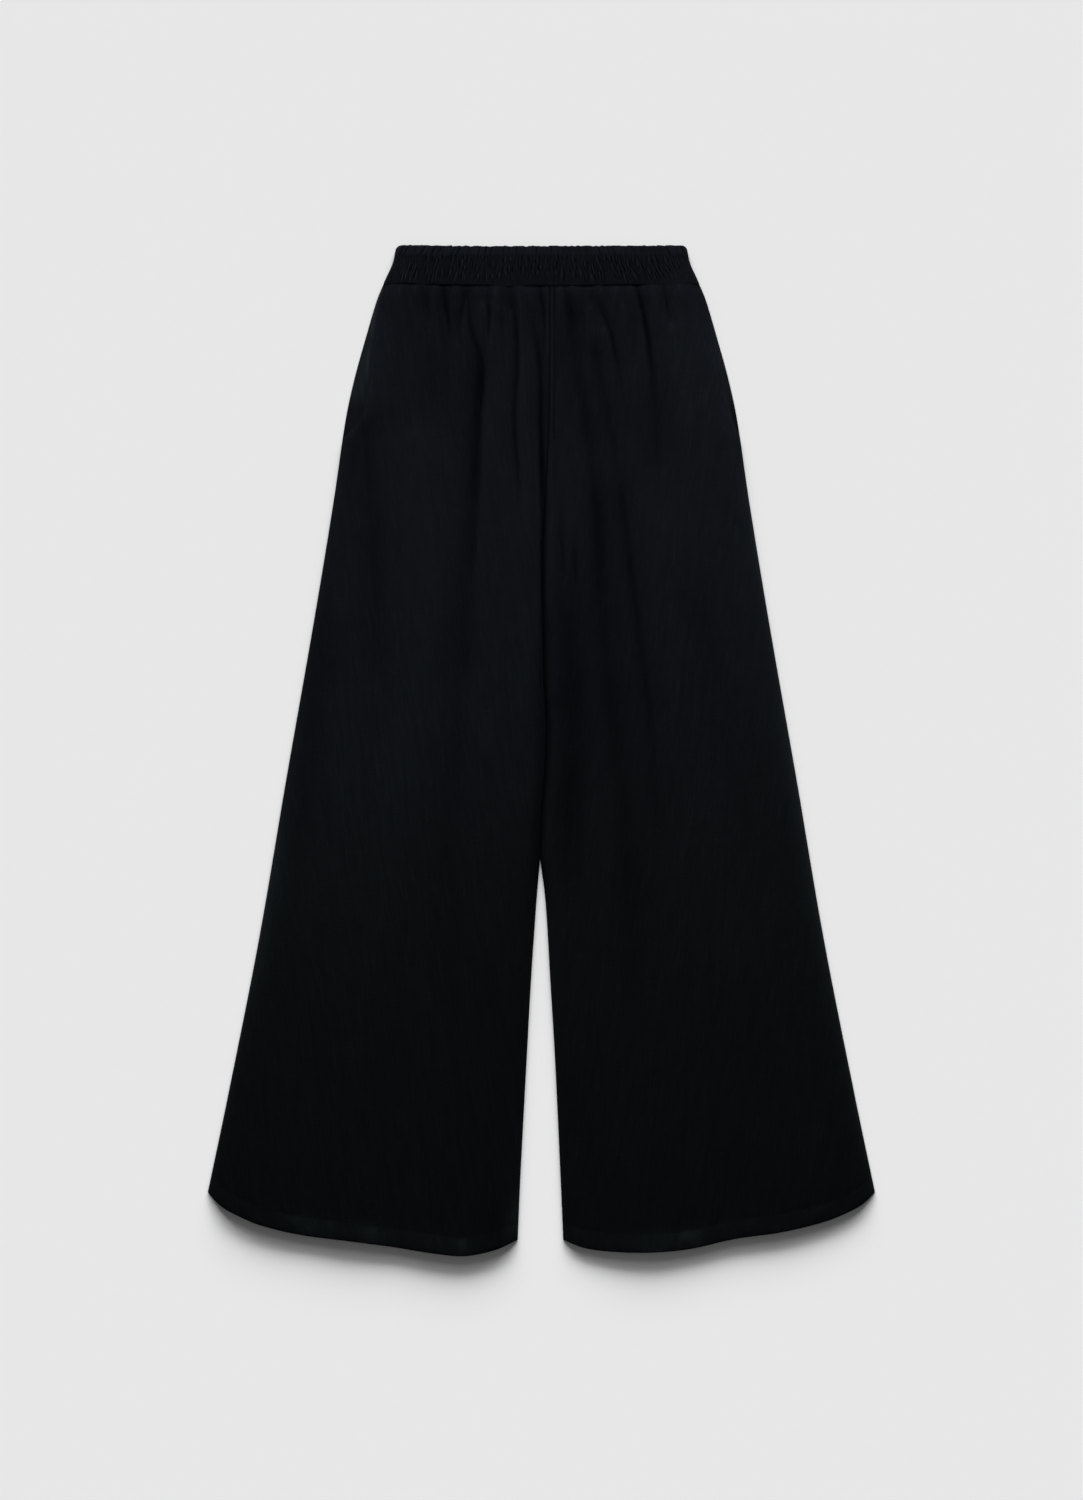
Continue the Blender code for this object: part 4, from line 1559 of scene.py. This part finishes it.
@dataclass(frozen=True)
class Sun:
    """A soft light from so far off that it lights the whole floor alike."""

    name: str
    azimuth: float  # where it stands, in degrees from the waist's end towards the wearer's left
    elevation: float  # its height over the floor, in degrees
    width: float  # how wide it looks, in degrees
    share: float  # its share of the light on the floor

    def build(self) -> Object:
        """Make the light.

        Returns:
            The new object.
        """
        azimuth, elevation = math.radians(self.azimuth), math.radians(self.elevation)
        data = bpy.data.lights.new(self.name, "SUN")
        data.energy = self.share * math.pi / math.sin(elevation)
        data.angle = math.radians(self.width)
        towards = Vector((math.sin(azimuth), math.cos(azimuth), math.tan(elevation)))
        return lamp(self.name, data, towards * 3, towards)


@dataclass(frozen=True)
class Softbox:
    """A square softbox beside the garment, in metres."""

    name: str
    place: tuple[float, float, float]
    share: float  # its share of the light on level cloth at the spot it is aimed at
    size: float = 0.6
    spread: float = 80  # how wide its grid lets it shine, in degrees
    aim: tuple[float, float, float] = (0, 0.25, 0)  # that spot

    def build(self) -> Object:
        """Make the light.

        Returns:
            The new object.
        """
        away = Vector(self.place) - Vector(self.aim)
        data = bpy.data.lights.new(self.name, "AREA")
        data.shape, data.size = "SQUARE", self.size
        data.spread = math.radians(self.spread)
        narrowed = 1 - data.spread / 2 / math.tan(data.spread / 2)
        data.energy = self.share * math.pi**2 * away.length**3 / away.z * narrowed
        return lamp(self.name, data, Vector(self.place), away)


FLOOR_LIGHTS = (
    Sun("floor_right", 24, 16, 21, 0.23),
    Sun("floor_middle", 0, 16, 21, 0.25),
    Sun("floor_left", -24, 16, 21, 0.23),
    Sun("floor_high", 0, 32, 34, 0.16),
)
CLOTH_LIGHTS = (
    Softbox("cloth_right", (-1.5, 0.56, 0.46), 0.295),
    Softbox("cloth_left", (1.5, 0.56, 0.46), 0.224),
    Softbox("cloth_waist", (0, 1.95, 0.68), 0.415, spread=120),
)


@dataclass(frozen=True)
class Studio:
    """A plain pale floor under plain soft light, and a camera that looks straight down."""

    floor_white: float = 0.8
    floor_reach: float = 40  # metres
    fill: float = 0.13  # even light from all round
    lens: float = 100
    sensor: float = 36
    middle: tuple[float, float] = (0.1, 0.5)  # of the image, in millimetres
    far: float = 200  # metres

    def build(self, garment: Sequence[Object]) -> None:
        """Make the floor, the lights and the camera.

        Args:
            garment: the pieces that the garment's own lights shine on.
        """
        self._shine(FLOOR_LIGHTS, "floor_only", [self._floor()])
        self._shine(CLOTH_LIGHTS, "garment_only", garment)
        self._surroundings()
        self._camera()
        bpy.context.scene.view_settings.view_transform = "Standard"

    def _floor(self) -> Object:
        """Make the floor.

        Returns:
            The new object.
        """
        corners = np.array([(-1, -1, 0), (1, -1, 0), (1, 1, 0), (-1, 1, 0)])
        floor = mesh_object("floor", corners * self.floor_reach / MM, np.array([[0, 1, 2, 3]]))
        floor.data.materials.append(Paper(white=self.floor_white).material())
        return floor

    @staticmethod
    def _shine(lights: Sequence[Sun | Softbox], name: str, members: Sequence[Object]) -> None:
        """Make lights that shine on one named group of objects alone.

        Args:
            lights: what each light is.
            name: the group's name.
            members: the objects in it.
        """
        group = bpy.data.collections.new(name)
        for member in members:
            group.objects.link(member)
        for light in lights:
            light.build().light_linking.receiver_collection = group

    def _surroundings(self) -> None:
        """Fill the shadows evenly, and show the floor's own white past its edge."""
        world = bpy.data.worlds.new("studio")
        world.use_nodes = True
        nodes, links = world.node_tree.nodes, world.node_tree.links
        seen, level = nodes.new("ShaderNodeLightPath"), nodes.new("ShaderNodeMix")
        level.inputs["A"].default_value = self.fill
        level.inputs["B"].default_value = self.floor_white
        links.new(seen.outputs["Is Camera Ray"], level.inputs["Factor"])
        links.new(level.outputs["Result"], nodes["Background"].inputs["Strength"])
        nodes["Background"].inputs["Color"].default_value = WHITE
        bpy.context.scene.world = world

    def _camera(self) -> None:
        """Make the camera, at one millimetre of garment to each pixel of the image."""
        data = bpy.data.cameras.new("camera")
        data.lens, data.sensor_width, data.clip_end = self.lens, self.sensor, self.far
        camera = bpy.data.objects.new("camera", data)
        distance = max(IMAGE_SIZE) * MM * self.lens / self.sensor
        camera.location = (self.middle[0] * MM, self.middle[1] * MM, distance)
        bpy.context.scene.collection.objects.link(camera)
        bpy.context.scene.camera = camera


# ---- putting it together

# the casing's linen, painted darker than the legs' for the shade among its puckers
CASING_SHADED_COLOUR = (0.0055, 0.0066, 0.0082)
# the facing's linen, painted paler than the legs' for the light that it catches
FACING_LIT_COLOUR = (0.0112, 0.0132, 0.0150)
TILTED_LEGS = ((RIGHT_LEG, -8), (LEFT_LEG, 8))  # with how far their threads lean, in degrees


@dataclass
class Culottes:
    """The whole garment."""

    pieces: list[Object] = field(default_factory=list)

    def build(self) -> None:
        """Make and dress every piece."""
        thread = Thread().material()
        # linen painted darker for the shade among the casing's puckers
        casing = Linen("casing_linen", CASING_SHADED_COLOUR, CASING_SHADED_COLOUR, crumple=0.06).material()
        for front in (True, False):
            self.pieces += Waistband(front, seed=21 + front).build(casing, thread)
        for leg, tilt in TILTED_LEGS:
            side = leg.side
            linen = Linen(f"leg_linen_{side.label}", tilt=tilt).material()
            # the facing's linen, painted paler for the light that it catches
            lit_facing = Linen(f"facing_linen_{side.label}", FACING_LIT_COLOUR, FACING_LIT_COLOUR, tilt, crumple=0.05)
            self.pieces += BackLeg(side, seed=51 + side.value).build(linen, thread)
            self.pieces += PocketFacing(side).build(lit_facing.material(), thread)
            self.pieces += leg.build(linen, thread)


def main() -> None:
    """Build the garment, then the studio round it."""
    logging.basicConfig(level=logging.INFO, format="%(name)s: %(message)s")
    garment = Culottes()
    garment.build()
    Studio().build(garment.pieces)


if __name__ == "__main__":
    main()
